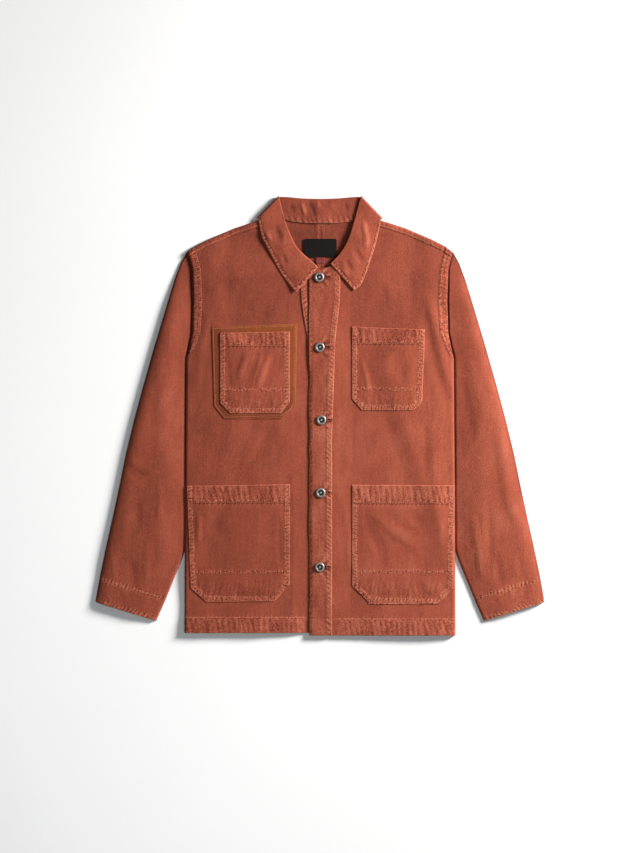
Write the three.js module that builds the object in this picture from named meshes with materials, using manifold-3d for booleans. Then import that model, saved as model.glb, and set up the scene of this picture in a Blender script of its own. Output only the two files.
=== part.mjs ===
// Chore jacket of cotton canvas, buttoned up and laid flat on its back.
//
// Millimetres. +X is the wearer's left, +Y runs from the hem to the collar, +Z is up.
// The origin is under the middle of the jacket, on the surface that it lies on.
//
// A place on the jacket is given by `x`, or `out` away from the centre line, and by
// `up`, the distance above the hem. A layer of cloth runs from `low` to `high` in Z.

import * as THREE from 'three';
import { mergeVertices } from 'three/addons/utils/BufferGeometryUtils.js';
import Module from 'manifold-3d';

const wasm = await Module();
wasm.setup();

// ------------------------------------------------------------------ driving sizes

const LENGTH = 789.5;         // lowest edge of the hem to the top of the collar
const CLOTH = 1.2;            // one layer of canvas
const COLLAR = 2;             // collar: two layers and what stiffens them
const GAP = 0.3;              // between pieces where they meet
const TURNED = 0.8;           // what a turned hem or a felled seam adds
const HEM = 30;               // depth of the turned hem
const HEM_UP = { left: 0, right: 4.5, back: 6 };   // where each panel's hem lies
const SHOULDER_SEAM = 11.5;   // width of the felled seam along the shoulder
const EDGE = 5.5;             // width over which the upper layer bends down at a fold
const OVERLAP = CLOTH + GAP;  // rise of one layer over another

const FREE_EDGE = -19.8;      // edge of the front that buttons over, past the centre
const BUTTON_RADIUS = 8.9;
const BUTTON_HIGH = 3;
const SHANK_RADIUS = 1.6;
const HOLE_LENGTH = 19;       // buttonhole, from the shank outward
const SLIT = 1.2;             // its width

const CANVAS = 0x9c5240;
const TAN = 0x9a6038;
const METAL = 0x9c938c;
const BLACK = 0x1b1512;
const DARK_RED = 0x5e1d1a;

// Half the body's width at each height: straight sides, then the armhole.
const SIDE_EDGE = [
  { up: 0, out: 244.5 },
  { up: 498, out: 241 },
  { up: 520, out: 236 },
  { up: 545, out: 231 },
  { up: 600, out: 229.5 },
  { up: 660, out: 231 },
  { up: 695, out: 240 },
];

// Upper edge of the body: back neck, then the shoulder down to its tip.
const TOP_EDGE = [
  { out: 0, up: 750 },
  { out: 60, up: 752 },
  { out: 75, up: 756.5 },
  { out: 118, up: 745 },
  { out: 155, up: 733.5 },
  { out: 204, up: 712 },
  { out: 226, up: 700.5 },
  { out: 240, up: 690 },
];

// Front neckline of one front; a negative `out` is past the centre line.
const NECKLINE = [
  { out: -25, up: 650 },
  { out: -6, up: 656 },
  { out: 16.4, up: 664 },
  { out: 34, up: 669.5 },
  { out: 50, up: 679.5 },
  { out: 60, up: 694 },
  { out: 66, up: 712 },
  { out: 70, up: 728 },
  { out: 72, up: 745 },
  { out: 72, up: 800 },
];

// How far from the centre line the sleeve reaches where it is tucked under the body.
const TUCKED_EDGE = [
  { up: 0, out: 306 },
  { up: 64, out: 277 },
  { up: 136, out: 249 },
  { up: 300, out: 193 },
  { up: 486, out: 128 },
  { up: 520, out: 150 },
  { up: 560, out: 205 },
  { up: 700, out: 212 },
];
const TUCK_RISE = 3.3;        // two layers of sleeve under the back
const TUCK_RAMP = 40;         // width over which the back rises onto them
const TUCK_MARGIN = 8;        // the rise ends this far before the sleeve's edge
const FALL_RISE = 2.5;        // the collar's fall under the back neck
const FALL_START = { up: 714, ramp: 18 };
const FALL_SIDE = { out: 122, ramp: 30 };

// Slack between back and front, from the centre line to the side.
const SLACK = [
  { out: 0, gap: 1.9 },
  { out: 25, gap: 1.9 },
  { out: 120, gap: 2.3 },
  { out: 200, gap: 1.5 },
  { out: 239, gap: 0.4 },
];
const LEAST_SLACK = 0.4;
const SLACK_FADE = { up: 668, ramp: 50 };

// Main folds of the fronts and sleeves: soft ridges, or troughs where `rise` is negative.
const FOLDS = [
  { x: 190, up: 622, toX: 232, toUp: 440, width: 26, rise: 0.9 },
  { x: 178, up: 590, toX: 206, toUp: 470, width: 24, rise: -0.7 },
  { x: 198, up: 392, toX: 222, toUp: 160, width: 26, rise: 0.8 },
  { x: 84, up: 232, toX: 188, toUp: 148, width: 26, rise: 0.8 },
  { x: 74, up: 226, toX: 116, toUp: 98, width: 26, rise: -0.7 },
  { x: -78, up: 390, toX: -128, toUp: 306, width: 26, rise: -0.8 },
  { x: -150, up: 330, toX: -196, toUp: 470, width: 34, rise: 0.6 },
  { x: 322, up: 366, toX: 360, toUp: 190, width: 24, rise: 1 },
  { x: 318, up: 160, toX: 330, toUp: 70, width: 26, rise: -1 },
  { x: -350, up: 296, toX: -300, toUp: 288, width: 26, rise: -0.8 },
  { x: -334, up: 250, toX: -326, toUp: 120, width: 26, rise: -0.8 },
];

// Sleeve from the shoulder to the cuff: its inner and outer edge at each row.
const SLEEVE_ROWS = [
  { in: 212, inUp: 688, out: 240.5, outUp: 690, turned: 0 },
  { in: 212, inUp: 672, out: 251.5, outUp: 670, turned: 0 },
  { in: 212, inUp: 640, out: 262.5, outUp: 640, turned: 0 },
  { in: 212, inUp: 600, out: 274.8, outUp: 600, turned: 0 },
  { in: 212, inUp: 560, out: 286.8, outUp: 560, turned: 0 },
  { in: 206, inUp: 518, out: 298.5, outUp: 521, turned: 0 },
  { in: 128, inUp: 486, out: 303, outUp: 505, turned: 0 },
  { in: 149, inUp: 425, out: 320, outUp: 445, turned: 0 },
  { in: 171, inUp: 362, out: 336, outUp: 385, turned: 0 },
  { in: 193, inUp: 300, out: 350.5, outUp: 325, turned: 0 },
  { in: 212, inUp: 245, out: 362, outUp: 268, turned: 0 },
  { in: 231, inUp: 190, out: 373.5, outUp: 214, turned: 0 },
  { in: 249, inUp: 136, out: 385, outUp: 163, turned: 0 },
  { in: 265, inUp: 97, out: 393, outUp: 125, turned: 0 },
  { in: 280, inUp: 60, out: 397.5, outUp: 102, turned: 0 },
  { in: 281.5, inUp: 57, out: 398, outUp: 99, turned: 1 },
  { in: 295.2, inUp: 26, out: 405, outUp: 60.3, turned: 1 },
];
const HEAD_ROWS = 6;          // rows of the sleeve head, above the underarm
const HEAD_TOP_EDGE = 221.2;  // the upper sleeve's seam edge there, past the back's
const BACK_HEAD_EDGE = 220.5;
const SLEEVE_SLACK = 2.3;     // how far the two layers of a sleeve stand apart
const SLACK_START = 4;        // flat this far past the body's side
const SLACK_RISE = 34;        // distance from an edge over which the slack opens

// Collar in front, from its side fold to the end of the leaf. The neck edge, the
// roll and the free edge of the leaf, each with the height of its underside.
const LEAVES = {
  right: [
    { neck: [75.5, 759, 6.4], roll: [74.2, 787.4, 6.4], leaf: 9.2, edge: [111.5, 749.8, 6.2] },
    { neck: [75, 745, 6.4], roll: [68.5, 762, 6.4], leaf: 9.2, edge: [109, 735, 6.4] },
    { neck: [73, 728, 5.7], roll: [62, 739, 6.2], leaf: 9.1, edge: [104.5, 717, 5.4] },
    { neck: [69, 712, 5.4], roll: [54, 719, 6], leaf: 9, edge: [97, 702, 4.8] },
    { neck: [60, 692, 5], roll: [44, 699, 5.8], leaf: 8.9, edge: [83, 675, 4.8] },
    { neck: [46, 677, 5.6], roll: [32, 686, 6], leaf: 9, edge: [68, 649.5, 5.4] },
    { neck: [28, 668.8, 6.1], roll: [18, 673.5, 6.2], leaf: 9.3, edge: [52.7, 628.6, 7] },
    { neck: [9, 662, 6.1], roll: [4.5, 661.2, 6.2], leaf: 9.4, edge: [42.3, 617.4, 8.8] },
  ],
  left: [
    { neck: [75.5, 759, 6.4], roll: [74.2, 787.4, 6.4], leaf: 9.2, edge: [110, 749.8, 6.2] },
    { neck: [75, 745, 6.4], roll: [67, 762, 6.4], leaf: 9.2, edge: [108, 738, 6.4] },
    { neck: [73, 728, 5.7], roll: [60.5, 740, 6.2], leaf: 9.1, edge: [104.5, 722, 5.6] },
    { neck: [70, 712, 5.4], roll: [54.5, 719, 6], leaf: 9, edge: [99.5, 702, 4.8] },
    { neck: [64, 694, 5], roll: [46.5, 700, 6], leaf: 8.9, edge: [91.5, 677, 4.8] },
    { neck: [54, 681.5, 5.8], roll: [38, 687, 6.2], leaf: 9, edge: [83, 652, 5.2] },
    { neck: [41, 675, 6.4], roll: [29, 676.5, 6.4], leaf: 9.2, edge: [73.5, 631.5, 6] },
    { neck: [24, 668.5, 6.6], roll: [19.6, 668, 6.6], leaf: 9.5, edge: [61.4, 620.6, 6.9] },
  ],
};

// Collar behind the neck, from the centre to the side fold: half of it.
const BACK_COLLAR = [
  { neck: [0, 742, 5.5], roll: [0, 784, 3.4], edge: [0, 735, 0] },
  { neck: [14, 742.2, 5.5], roll: [16, 784.2, 3.4], edge: [18, 735, 0] },
  { neck: [30, 742.5, 4], roll: [34, 785, 3.4], edge: [40, 735.5, 0] },
  { neck: [56, 746, 4], roll: [56, 787, 3.4], edge: [76, 737, 0] },
  { neck: [69, 753, 4], roll: [67, 787.6, 3.4], edge: [100, 742, 0] },
  { neck: [75.5, 759, 4], roll: [74.2, 787.4, 3.6], edge: [111, 749.8, 0] },
];
const RAIL_STEPS = 10;        // steps along a leaf's smoothed edges
const BACK_STEPS = 12;        // steps across the back of the neck
const BEAD_IN = 1;            // a rolled edge reaches this far back over its layers
const BEAD_OUT = 1.4;         // and this far past them

// Patch pockets and the backing patch: corners, and where the pocket's turned top ends.
const POCKETS = {
  chest_pocket_right: {
    corners: [
      [-54.5, 547], [-180.4, 545], [-180.4, 418.5], [-162, 399.6], [-71, 399.6], [-54.5, 420],
    ],
    turnedFrom: 522,
  },
  chest_pocket_left: {
    corners: [
      [56.9, 556.2], [189.2, 550.6], [183.6, 420.3], [167.2, 404.6], [75.2, 404.6], [56.9, 425.7],
    ],
    turnedFrom: 526,
  },
  lower_pocket_right: {
    corners: [
      [-54, 272.3], [-240.5, 269.1], [-233.5, 84.8], [-206.8, 61.7], [-82.4, 60.7], [-54.5, 91.3],
    ],
    turnedFrom: 240,
  },
  lower_pocket_left: {
    corners: [
      [57.1, 271.3], [242, 270.2], [238.9, 84.8], [213.7, 56.5], [87.3, 59.6], [57.1, 89.1],
    ],
    turnedFrom: 238.5,
  },
};
const BACKING = [
  [-40.9, 560.7], [-195.1, 555.3], [-191.3, 412.9], [-173, 389.9], [-68.4, 392.8],
  [-50.4, 405.9], [-44.5, 418.5],
];

// Inner edge of a placket: parallel to the opening, flared towards the neck.
const PLACKET_INNER = [
  { up: 0, out: 21.6 },
  { up: 352, out: 21.6 },
  { up: 532, out: 27.5 },
  { up: 604, out: 35.8 },
  { up: 680, out: 37 },
];

const BUTTONS = [
  { x: -1.6, up: 644.8 },
  { x: -0.7, up: 518.8 },
  { x: 2.2, up: 387.9 },
  { x: 1.1, up: 257 },
  { x: -0.7, up: 123.1 },
];

const CENTRE_SEAM = { from: -4.5, to: 11.5, ramp: 4 };
const LABEL = { from: -28.6, to: 30.1, low: 681.2, high: 714.6, thick: 0.8 };
const SIZE_TAB = { from: -6.8, to: 7.6, low: 669.6, high: 680.8, thick: 0.6 };

// --------------------------------------------------------------------- functions

const smooth = (t) => THREE.MathUtils.smoothstep(t, 0, 1);

/** The value of column `to` of a table where its column `from` is `value`. */
function lookUp(table, from, to, value) {
  const next = table.findIndex((row) => row[from] >= value);
  if (next === 0) return table[0][to];
  if (next < 0) return table.at(-1)[to];
  const [a, b] = [table[next - 1], table[next]];
  return THREE.MathUtils.mapLinear(value, a[from], b[from], a[to], b[to]);
}

const sideEdge = (up) => lookUp(SIDE_EDGE, 'up', 'out', up);
const topEdge = (x) => lookUp(TOP_EDGE, 'out', 'up', Math.abs(x));

/** Height of the folds at a point: each is highest along its line and fades at its ends. */
function foldRise(x, up) {
  let rise = 0;
  for (const fold of FOLDS) {
    const along = new THREE.Vector2(fold.toX - fold.x, fold.toUp - fold.up);
    const here = new THREE.Vector2(x - fold.x, up - fold.up);
    const length = along.length();
    const step = here.dot(along) / length;
    const aside = Math.abs(here.cross(along)) / length;
    const ends = smooth(step / fold.width) * smooth((length - step) / fold.width);
    rise += fold.rise * ends * (1 - smooth(aside / fold.width));
  }
  return rise;
}

/** Underside of the back: it rises over the tucked sleeves and the collar's fall. */
function backLow(x, up) {
  const out = Math.abs(x);
  const tuckStart = lookUp(TUCKED_EDGE, 'up', 'out', up) - TUCK_MARGIN - TUCK_RAMP;
  const overSleeve = TUCK_RISE * smooth((out - tuckStart) / TUCK_RAMP);
  const overFall = FALL_RISE * smooth((up - FALL_START.up) / FALL_START.ramp)
    * (1 - smooth((out - FALL_SIDE.out) / FALL_SIDE.ramp));
  return Math.max(overSleeve, overFall);
}

/** Slack between the back and a front, with the folds of the front in it. */
function slack(x, up) {
  const out = Math.abs(x);
  const loose = lookUp(SLACK, 'out', 'gap', out) - LEAST_SLACK;
  const fade = 1 - smooth((up - SLACK_FADE.up) / SLACK_FADE.ramp);
  return LEAST_SLACK + Math.max(0, loose * fade + foldRise(x, up));
}

/** Rise of the front that buttons over, onto the other front and its placket. */
const closureRise = (x) => 2 * OVERLAP * (1 - smooth((x - 22) / 38));

/** What the turned hem adds, away from the plackets. */
const turnedHem = (x, up) => (up <= HEM ? TURNED * smooth((Math.abs(x) - 25) / 20) : 0);

/** What the felled shoulder seam adds, from the neck to the shoulder tip. */
const turnedShoulder = (x, up) => (topEdge(x) - up <= SHOULDER_SEAM ? TURNED : 0);

/**
 * A closed sheet over a grid. `place(column, row)` gives a point's x and up, and the
 * height of the sheet's underside (low) and upper side (high).
 */
function sheet(columns, rows, place) {
  const lower = [];
  const upper = [];
  for (let row = 0; row < rows; row += 1) {
    for (let column = 0; column < columns; column += 1) {
      const { x, up, low, high } = place(column, row);
      lower.push(x, up - LENGTH / 2, low);
      upper.push(x, up - LENGTH / 2, high);
    }
  }
  const index = [];
  const count = columns * rows;
  for (let row = 0; row + 1 < rows; row += 1) {
    for (let column = 0; column + 1 < columns; column += 1) {
      const a = row * columns + column;
      const b = a + 1;
      const c = b + columns;
      const d = a + columns;
      index.push(a, c, b, a, d, c);
      index.push(a + count, b + count, c + count, a + count, c + count, d + count);
    }
  }
  const rim = [];
  for (let column = 0; column < columns - 1; column += 1) rim.push(column);
  for (let row = 0; row < rows - 1; row += 1) rim.push(row * columns + columns - 1);
  for (let column = columns - 1; column > 0; column -= 1) rim.push((rows - 1) * columns + column);
  for (let row = rows - 1; row > 0; row -= 1) rim.push(row * columns);
  rim.forEach((a, i) => {
    const b = rim[(i + 1) % rim.length];
    index.push(a, b, b + count, a, b + count, a + count);
  });
  const geometry = new THREE.BufferGeometry();
  geometry.setAttribute('position', new THREE.Float32BufferAttribute([...lower, ...upper], 3));
  geometry.setIndex(facesOut(geometry.getAttribute('position'), index));
  return geometry;
}

/** The same triangles, turned round if they enclose a negative volume. */
function facesOut(position, index) {
  const [a, b, c] = [new THREE.Vector3(), new THREE.Vector3(), new THREE.Vector3()];
  let volume = 0;
  for (let i = 0; i < index.length; i += 3) {
    a.fromBufferAttribute(position, index[i]);
    b.fromBufferAttribute(position, index[i + 1]);
    c.fromBufferAttribute(position, index[i + 2]);
    volume += a.dot(b.cross(c));
  }
  return volume < 0 ? [...index].reverse() : index;
}

/** An upright prism over an outline of [x, up] points, taller than the jacket is thick. */
function prism(outline) {
  const points = outline.map(([x, up]) => new THREE.Vector2(x, up - LENGTH / 2));
  const geometry = new THREE.ExtrudeGeometry(new THREE.Shape(points), {
    depth: 40,
    bevelEnabled: false,
  });
  return geometry.translate(0, 0, -10);
}

/** A solid for cutting and joining, from a closed geometry. */
function solid(geometry) {
  const bare = geometry.clone();
  bare.deleteAttribute('normal');
  bare.deleteAttribute('uv');
  const merged = mergeVertices(bare, 1e-4);
  return new wasm.Manifold(new wasm.Mesh({
    numProp: 3,
    vertProperties: Float32Array.from(merged.getAttribute('position').array),
    triVerts: Uint32Array.from(merged.getIndex().array),
  }));
}

/** The geometry of a solid after cutting and joining. */
function geometryOf(cut) {
  const mesh = cut.getMesh();
  const geometry = new THREE.BufferGeometry();
  geometry.setAttribute('position', new THREE.BufferAttribute(mesh.vertProperties, 3));
  geometry.setIndex(new THREE.BufferAttribute(mesh.triVerts, 1));
  return geometry;
}

/** A named piece of one material. */
function piece(name, geometry, color, roughness = 0.92, metalness = 0) {
  geometry.computeVertexNormals();
  const material = new THREE.MeshStandardMaterial({ color, roughness, metalness });
  const mesh = new THREE.Mesh(geometry, material);
  mesh.name = name;
  return mesh;
}

// -------------------------------------------------------------------------- body

// Columns from the centre to the side. Where `share` is 1, `in` is measured in from
// the side edge; otherwise the column stands at `out`.
const BODY_COLUMNS = [
  { out: 22, share: 0, in: 0 },
  { out: 41, share: 0, in: 0 },
  { out: 60, share: 0, in: 0 },
  { out: 85, share: 0, in: 0 },
  { out: 115, share: 0, in: 0 },
  { out: 143, share: 0, in: 0 },
  { out: 0, share: 1, in: 68 },
  { out: 0, share: 1, in: 42 },
  { out: 0, share: 1, in: 20 },
];
const BACK_LAST = { out: 0, share: 1, in: EDGE };
const FRONT_LAST = [
  { out: 0, share: 1, in: 9.3 },
  { out: 0, share: 1, in: EDGE },
  { out: 0, share: 1, in: 0 },
];

// Rows from the hem to the neck and shoulder. Where `share` is 1 the row follows the
// upper edge, `below` it.
const BODY_ROWS = [
  ...[28.5, 31.5, 75, 120, 165, 210, 255, 300, 345, 390, 435, 480, 502].map(
    (up) => ({ up, share: 0, below: 0 }),
  ),
  ...[0.35, 0.7].map((share) => ({ up: 502, share, below: 0 })),
  { up: 502, share: 1, below: 36 },
  { up: 502, share: 1, below: SHOULDER_SEAM + 1.5 },
  { up: 502, share: 1, below: SHOULDER_SEAM - 0.5 },
  { up: 502, share: 1, below: EDGE },
  { up: 502, share: 1, below: 0 },
];
const LAST_ROW = BODY_ROWS.length;

/** A grid point of the body. Row 0 is the hem, at `hemUp`; the others are BODY_ROWS. */
function bodyPoint(column, row, hemUp) {
  const columnOut = (up) => column.out + column.share * (sideEdge(up) - column.in);
  const rowUp = (out) => {
    if (row === 0) return hemUp;
    const { up, share, below } = BODY_ROWS[row - 1];
    return up + share * (topEdge(out) - up) - below;
  };
  const up = rowUp(columnOut(rowUp(columnOut(600))));
  return { out: columnOut(up), up };
}

/** Half of the back. The right half laps over the left one at the centre seam. */
function backHalf(side) {
  const lapping = side < 0;
  const centre = lapping
    ? [-CENTRE_SEAM.to, -CENTRE_SEAM.from + 0.3, -CENTRE_SEAM.from + CENTRE_SEAM.ramp]
    : [CENTRE_SEAM.from];
  const columns = [
    ...centre.map((out) => ({ out, share: 0, in: 0 })),
    ...BODY_COLUMNS,
    BACK_LAST,
  ];
  return sheet(columns.length, LAST_ROW, (column, row) => {
    const point = bodyPoint(columns[column], row, HEM_UP.back);
    const inHead = column === columns.length - 1 && point.up > 497;
    const out = inHead ? Math.min(point.out, BACK_HEAD_EDGE) : point.out;
    const x = side * out;
    const lap = lapping && column < 2 ? OVERLAP : 0;
    const low = backLow(x, point.up) + lap;
    return { x, up: point.up, low, high: low + CLOTH };
  });
}

const FRONT_COLUMNS = [{ out: FREE_EDGE, share: 0, in: 0 }, ...BODY_COLUMNS, ...FRONT_LAST];

/** A grid point of a front. Its side and shoulder edges bend down past the back's. */
function frontPoint(side, column, row) {
  const { out, up } = bodyPoint(FRONT_COLUMNS[column], row, HEM_UP[side > 0 ? 'left' : 'right']);
  const x = side * out;
  const bent = column === FRONT_COLUMNS.length - 1 || row === LAST_ROW;
  const overBack = bent ? 0 : CLOTH + slack(x, up);
  const overOther = side > 0 ? closureRise(x) : 0;
  const low = backLow(x, up) + overBack + overOther;
  return { x, up, low, high: low + CLOTH + turnedHem(x, up) + turnedShoulder(x, up) };
}

function frontSheet(side) {
  return sheet(FRONT_COLUMNS.length, LAST_ROW + 1, (column, row) => frontPoint(side, column, row));
}

/** A layer on a front, from the front's own points: `lift` above it and `thick` thick. */
function overFront(side, lift, thick) {
  return sheet(FRONT_COLUMNS.length, LAST_ROW + 1, (column, row) => {
    const { x, up, high } = frontPoint(side, column, row);
    return { x, up, low: high + lift, high: high + lift + thick };
  });
}

/** What a front's neckline leaves out. */
function neckCut(side) {
  const outline = NECKLINE.map(({ out, up }) => [side * out, up]);
  return solid(prism([...outline, [side * NECKLINE[0].out, 800]]));
}

/** Keyholes for the button shanks, each with its buttonhole towards the wearer's left. */
function buttonholes() {
  const round = SHANK_RADIUS + 0.6;
  const half = SLIT / 2;
  const cuts = BUTTONS.map(({ x, up }) => {
    const outline = [];
    for (let step = 1; step < 12; step += 1) {
      const turn = (step / 12) * 2 * Math.PI;
      outline.push([x + round * Math.cos(turn), up + round * Math.sin(turn)]);
    }
    outline.push([x + HOLE_LENGTH, up - half], [x + HOLE_LENGTH, up + half]);
    return solid(prism(outline));
  });
  return wasm.Manifold.union(cuts);
}

/** Outline of a placket on the front of one side. */
function placketOutline(side) {
  const inner = PLACKET_INNER.map(({ out, up }) => [side * out, up]);
  inner[0] = [inner[0][0], -5];
  return [[side * (FREE_EDGE - 1), -5], ...inner, [side * (FREE_EDGE - 1), 680]];
}

function front(side) {
  let cut = solid(frontSheet(side)).subtract(neckCut(side));
  if (side > 0) cut = cut.subtract(buttonholes());
  return geometryOf(cut);
}

function placket(side) {
  let cut = solid(overFront(side, GAP, CLOTH)).subtract(neckCut(side));
  cut = cut.intersect(solid(prism(placketOutline(side))));
  if (side > 0) cut = cut.subtract(buttonholes());
  return geometryOf(cut);
}

/** A patch sewn on a front. */
function patch(side, outline, lift) {
  return geometryOf(solid(overFront(side, lift, CLOTH)).intersect(solid(prism(outline))));
}

/** A patch pocket, thicker along its turned top. */
function pocket(side, { corners, turnedFrom }, lift) {
  const body = solid(overFront(side, lift, CLOTH)).intersect(solid(prism(corners)));
  const above = [[-300, turnedFrom], [300, turnedFrom], [300, 700], [-300, 700]];
  const turned = solid(overFront(side, lift, CLOTH + TURNED))
    .intersect(solid(prism(corners)))
    .intersect(solid(prism(above)));
  return geometryOf(body.add(turned));
}

// ----------------------------------------------------------------------- sleeves

const TUCKED_STEPS = [0, 0.5, 1];           // from the inner edge to the body's side
const VISIBLE_STEPS = [0.22, 0.44, 0.66, 0.86];

/** Distances across a row: the edges, the bend next to each, and the steps between. */
function acrossRow(row, layerIn) {
  const width = Math.hypot(row.out - layerIn, row.outUp - row.inUp);
  const middleUp = (row.inUp + row.outUp) / 2;
  const bodySide = (sideEdge(middleUp) + SLACK_START - layerIn) / (row.out - layerIn);
  const bend = EDGE / width;
  const turn = THREE.MathUtils.clamp(bodySide, bend + 0.1, 0.6);
  return [
    0,
    ...TUCKED_STEPS.map((step) => THREE.MathUtils.lerp(bend, turn, step)),
    ...VISIBLE_STEPS.map((step) => THREE.MathUtils.lerp(turn, 1 - bend, step)),
    1 - bend,
    1,
  ];
}

/** Space between the two layers of a sleeve, `inward` and `outward` from its edges. */
function sleeveSlack(x, up, inward, outward) {
  const pastBody = Math.abs(x) - sideEdge(up) - SLACK_START;
  const fromEdge = Math.min(pastBody, inward, outward);
  const open = smooth(fromEdge / SLACK_RISE);
  return GAP + open * Math.max(0, SLEEVE_SLACK + foldRise(x, up));
}

function sleeveTop(side) {
  const columns = TUCKED_STEPS.length + VISIBLE_STEPS.length + 3;
  return sheet(columns, SLEEVE_ROWS.length, (column, rowNumber) => {
    const row = SLEEVE_ROWS[rowNumber];
    const inHead = rowNumber < HEAD_ROWS;
    const inner = inHead ? HEAD_TOP_EDGE : row.in;
    const step = acrossRow(row, inner)[column];
    const out = THREE.MathUtils.lerp(inner, row.out, step);
    const up = THREE.MathUtils.lerp(row.inUp, row.outUp, step);
    const width = row.out - inner;
    const folded = column === columns - 1 || (column === 0 && rowNumber > HEAD_ROWS);
    const apart = sleeveSlack(side * out, up, inHead ? width : step * width, (1 - step) * width);
    const low = folded ? 0 : CLOTH + apart;
    return { x: side * out, up, low, high: low + CLOTH + row.turned * TURNED };
  });
}

function sleeveUnder(side) {
  const columns = 4;
  return sheet(columns, SLEEVE_ROWS.length, (column, rowNumber) => {
    const row = SLEEVE_ROWS[rowNumber];
    const inHead = rowNumber < HEAD_ROWS;
    const width = row.out - row.in;
    const first = inHead ? 0 : EDGE / width;
    const step = THREE.MathUtils.lerp(first, 1 - EDGE / width, column / (columns - 1));
    const out = THREE.MathUtils.lerp(row.in, row.out, step);
    const up = THREE.MathUtils.lerp(row.inUp, row.outUp, step);
    return { x: side * out, up, low: 0, high: CLOTH };
  });
}

// ------------------------------------------------------------------------ collar

/** A smooth run of points through a column of a station table, on one side. */
function rail(stations, side, pick, steps) {
  const points = stations.map((station) => {
    const [out, up, low] = pick(station);
    return new THREE.Vector3(side * out, up, low);
  });
  return new THREE.CatmullRomCurve3(points, false, 'centripetal').getPoints(steps);
}

/** A strip between two rails, as thick at each of its steps as `thickAt(step)` says. */
function strip(first, second, thickAt = () => COLLAR) {
  const rails = [first, second];
  return solid(sheet(2, first.length, (column, row) => {
    const { x, y, z } = rails[column][row];
    return { x, up: y, low: z, high: z + thickAt(row) };
  }));
}

/** A rolled or folded edge along `line`, which joins the layer there to those up to `tops`. */
function bead(line, tops, turn) {
  const aside = (reach) => line.map((point, i) => {
    const before = line[Math.max(0, i - 1)];
    const after = line[Math.min(line.length - 1, i + 1)];
    const length = Math.hypot(after.x - before.x, after.y - before.y);
    return new THREE.Vector3(
      point.x - (turn * reach * (after.y - before.y)) / length,
      point.y + (turn * reach * (after.x - before.x)) / length,
      point.z,
    );
  });
  return strip(aside(-BEAD_IN), aside(BEAD_OUT), (step) => tops[step] - line[step].z);
}

/** One leaf: its stand, the leaf on it, the roll between them and the side folds. */
function collarFront(stations, side) {
  const neck = rail(stations, side, (station) => station.neck, RAIL_STEPS);
  const stand = rail(stations, side, (station) => station.roll, RAIL_STEPS);
  const onRoll = ({ roll: [out, up], leaf: low }) => [out, up, low];
  const leaf = rail(stations, side, onRoll, RAIL_STEPS);
  const edge = rail(stations, side, (station) => station.edge, RAIL_STEPS);
  const back = BACK_COLLAR.at(-1);
  const sideNeck = new THREE.Vector3(side * back.neck[0], back.neck[1], back.neck[2]);
  const sideRoll = new THREE.Vector3(side * back.roll[0], back.roll[1], back.roll[2]);
  const foldRoll = new THREE.Vector3(leaf[0].x, leaf[0].y, 0);
  const foldEdge = new THREE.Vector3(edge[0].x, edge[0].y, 0);
  return [
    strip(neck, stand),
    strip(leaf, edge),
    bead(stand, leaf.map(({ z }) => z + COLLAR), side),
    bead([sideNeck, sideRoll], [neck[0].z + COLLAR, stand[0].z + COLLAR], side),
    bead([foldRoll, foldEdge], [leaf[0].z + COLLAR, edge[0].z + COLLAR], -side),
  ];
}

/** Behind the neck: the stand inside the back, the fall under it and the roll. */
function collarBack() {
  const mirrored = BACK_COLLAR.slice(1).reverse().map((station) => {
    const flip = ([out, up, low]) => [-out, up, low];
    return { neck: flip(station.neck), roll: flip(station.roll), edge: flip(station.edge) };
  });
  const stations = [...mirrored, ...BACK_COLLAR];
  const neck = rail(stations, 1, (station) => station.neck, BACK_STEPS);
  const stand = rail(stations, 1, (station) => station.roll, BACK_STEPS);
  const fall = stand.map(({ x, y }) => new THREE.Vector3(x, y, 0));
  const edge = rail(stations, 1, (station) => station.edge, BACK_STEPS);
  return [
    strip(neck, stand),
    strip(fall, edge),
    bead(fall, stand.map(({ z }) => z + COLLAR), 1),
  ];
}

function collar() {
  return geometryOf(wasm.Manifold.union([
    ...collarBack(),
    ...collarFront(LEAVES.right, -1),
    ...collarFront(LEAVES.left, 1),
  ]));
}

// ------------------------------------------------------- buttons, label and size tab

/** Height of the inside of the back near the neck, over its centre seam. */
function backInside(x, up) {
  const past = Math.max(CENTRE_SEAM.from - x, x - CENTRE_SEAM.to - 0.5, 0);
  return backLow(x, up) + CLOTH + OVERLAP * (1 - smooth(past / CENTRE_SEAM.ramp));
}

/** A woven patch on the inside of the back. */
function innerPatch({ from, to, low, high, thick }) {
  const seam = [CENTRE_SEAM.from - CENTRE_SEAM.ramp, CENTRE_SEAM.from];
  const pastSeam = [CENTRE_SEAM.to + 0.5, CENTRE_SEAM.to + 0.5 + CENTRE_SEAM.ramp];
  const across = [from, ...[...seam, ...pastSeam].filter((x) => x > from && x < to), to];
  const rows = 4;
  return sheet(across.length, rows, (column, row) => {
    const x = across[column];
    const up = THREE.MathUtils.lerp(low, high, row / (rows - 1));
    const under = backInside(x, up) + GAP;
    return { x, up, low: under, high: under + thick };
  });
}

/** A ring-shaped metal button with a sunk centre, on the shank that holds it. */
function button(x, up, seat) {
  const disc = seat + 2 * OVERLAP;
  const top = disc + BUTTON_HIGH;
  const profile = [
    [0, seat],
    [SHANK_RADIUS, seat],
    [SHANK_RADIUS, disc],
    [BUTTON_RADIUS - 0.8, disc],
    [BUTTON_RADIUS, disc + 0.9],
    [BUTTON_RADIUS - 0.5, top - 0.7],
    [BUTTON_RADIUS - 1.9, top],
    [BUTTON_RADIUS - 3.8, top - 0.3],
    [BUTTON_RADIUS - 5, top - 1.3],
    [0, top - 1.5],
  ].map(([radius, z]) => new THREE.Vector2(radius, z));
  const geometry = new THREE.LatheGeometry(profile, 16).rotateX(Math.PI / 2);
  geometry.translate(x, up - LENGTH / 2, 0);
  return geometryOf(solid(geometry));
}

// ---------------------------------------------------------------------- assembly

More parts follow.
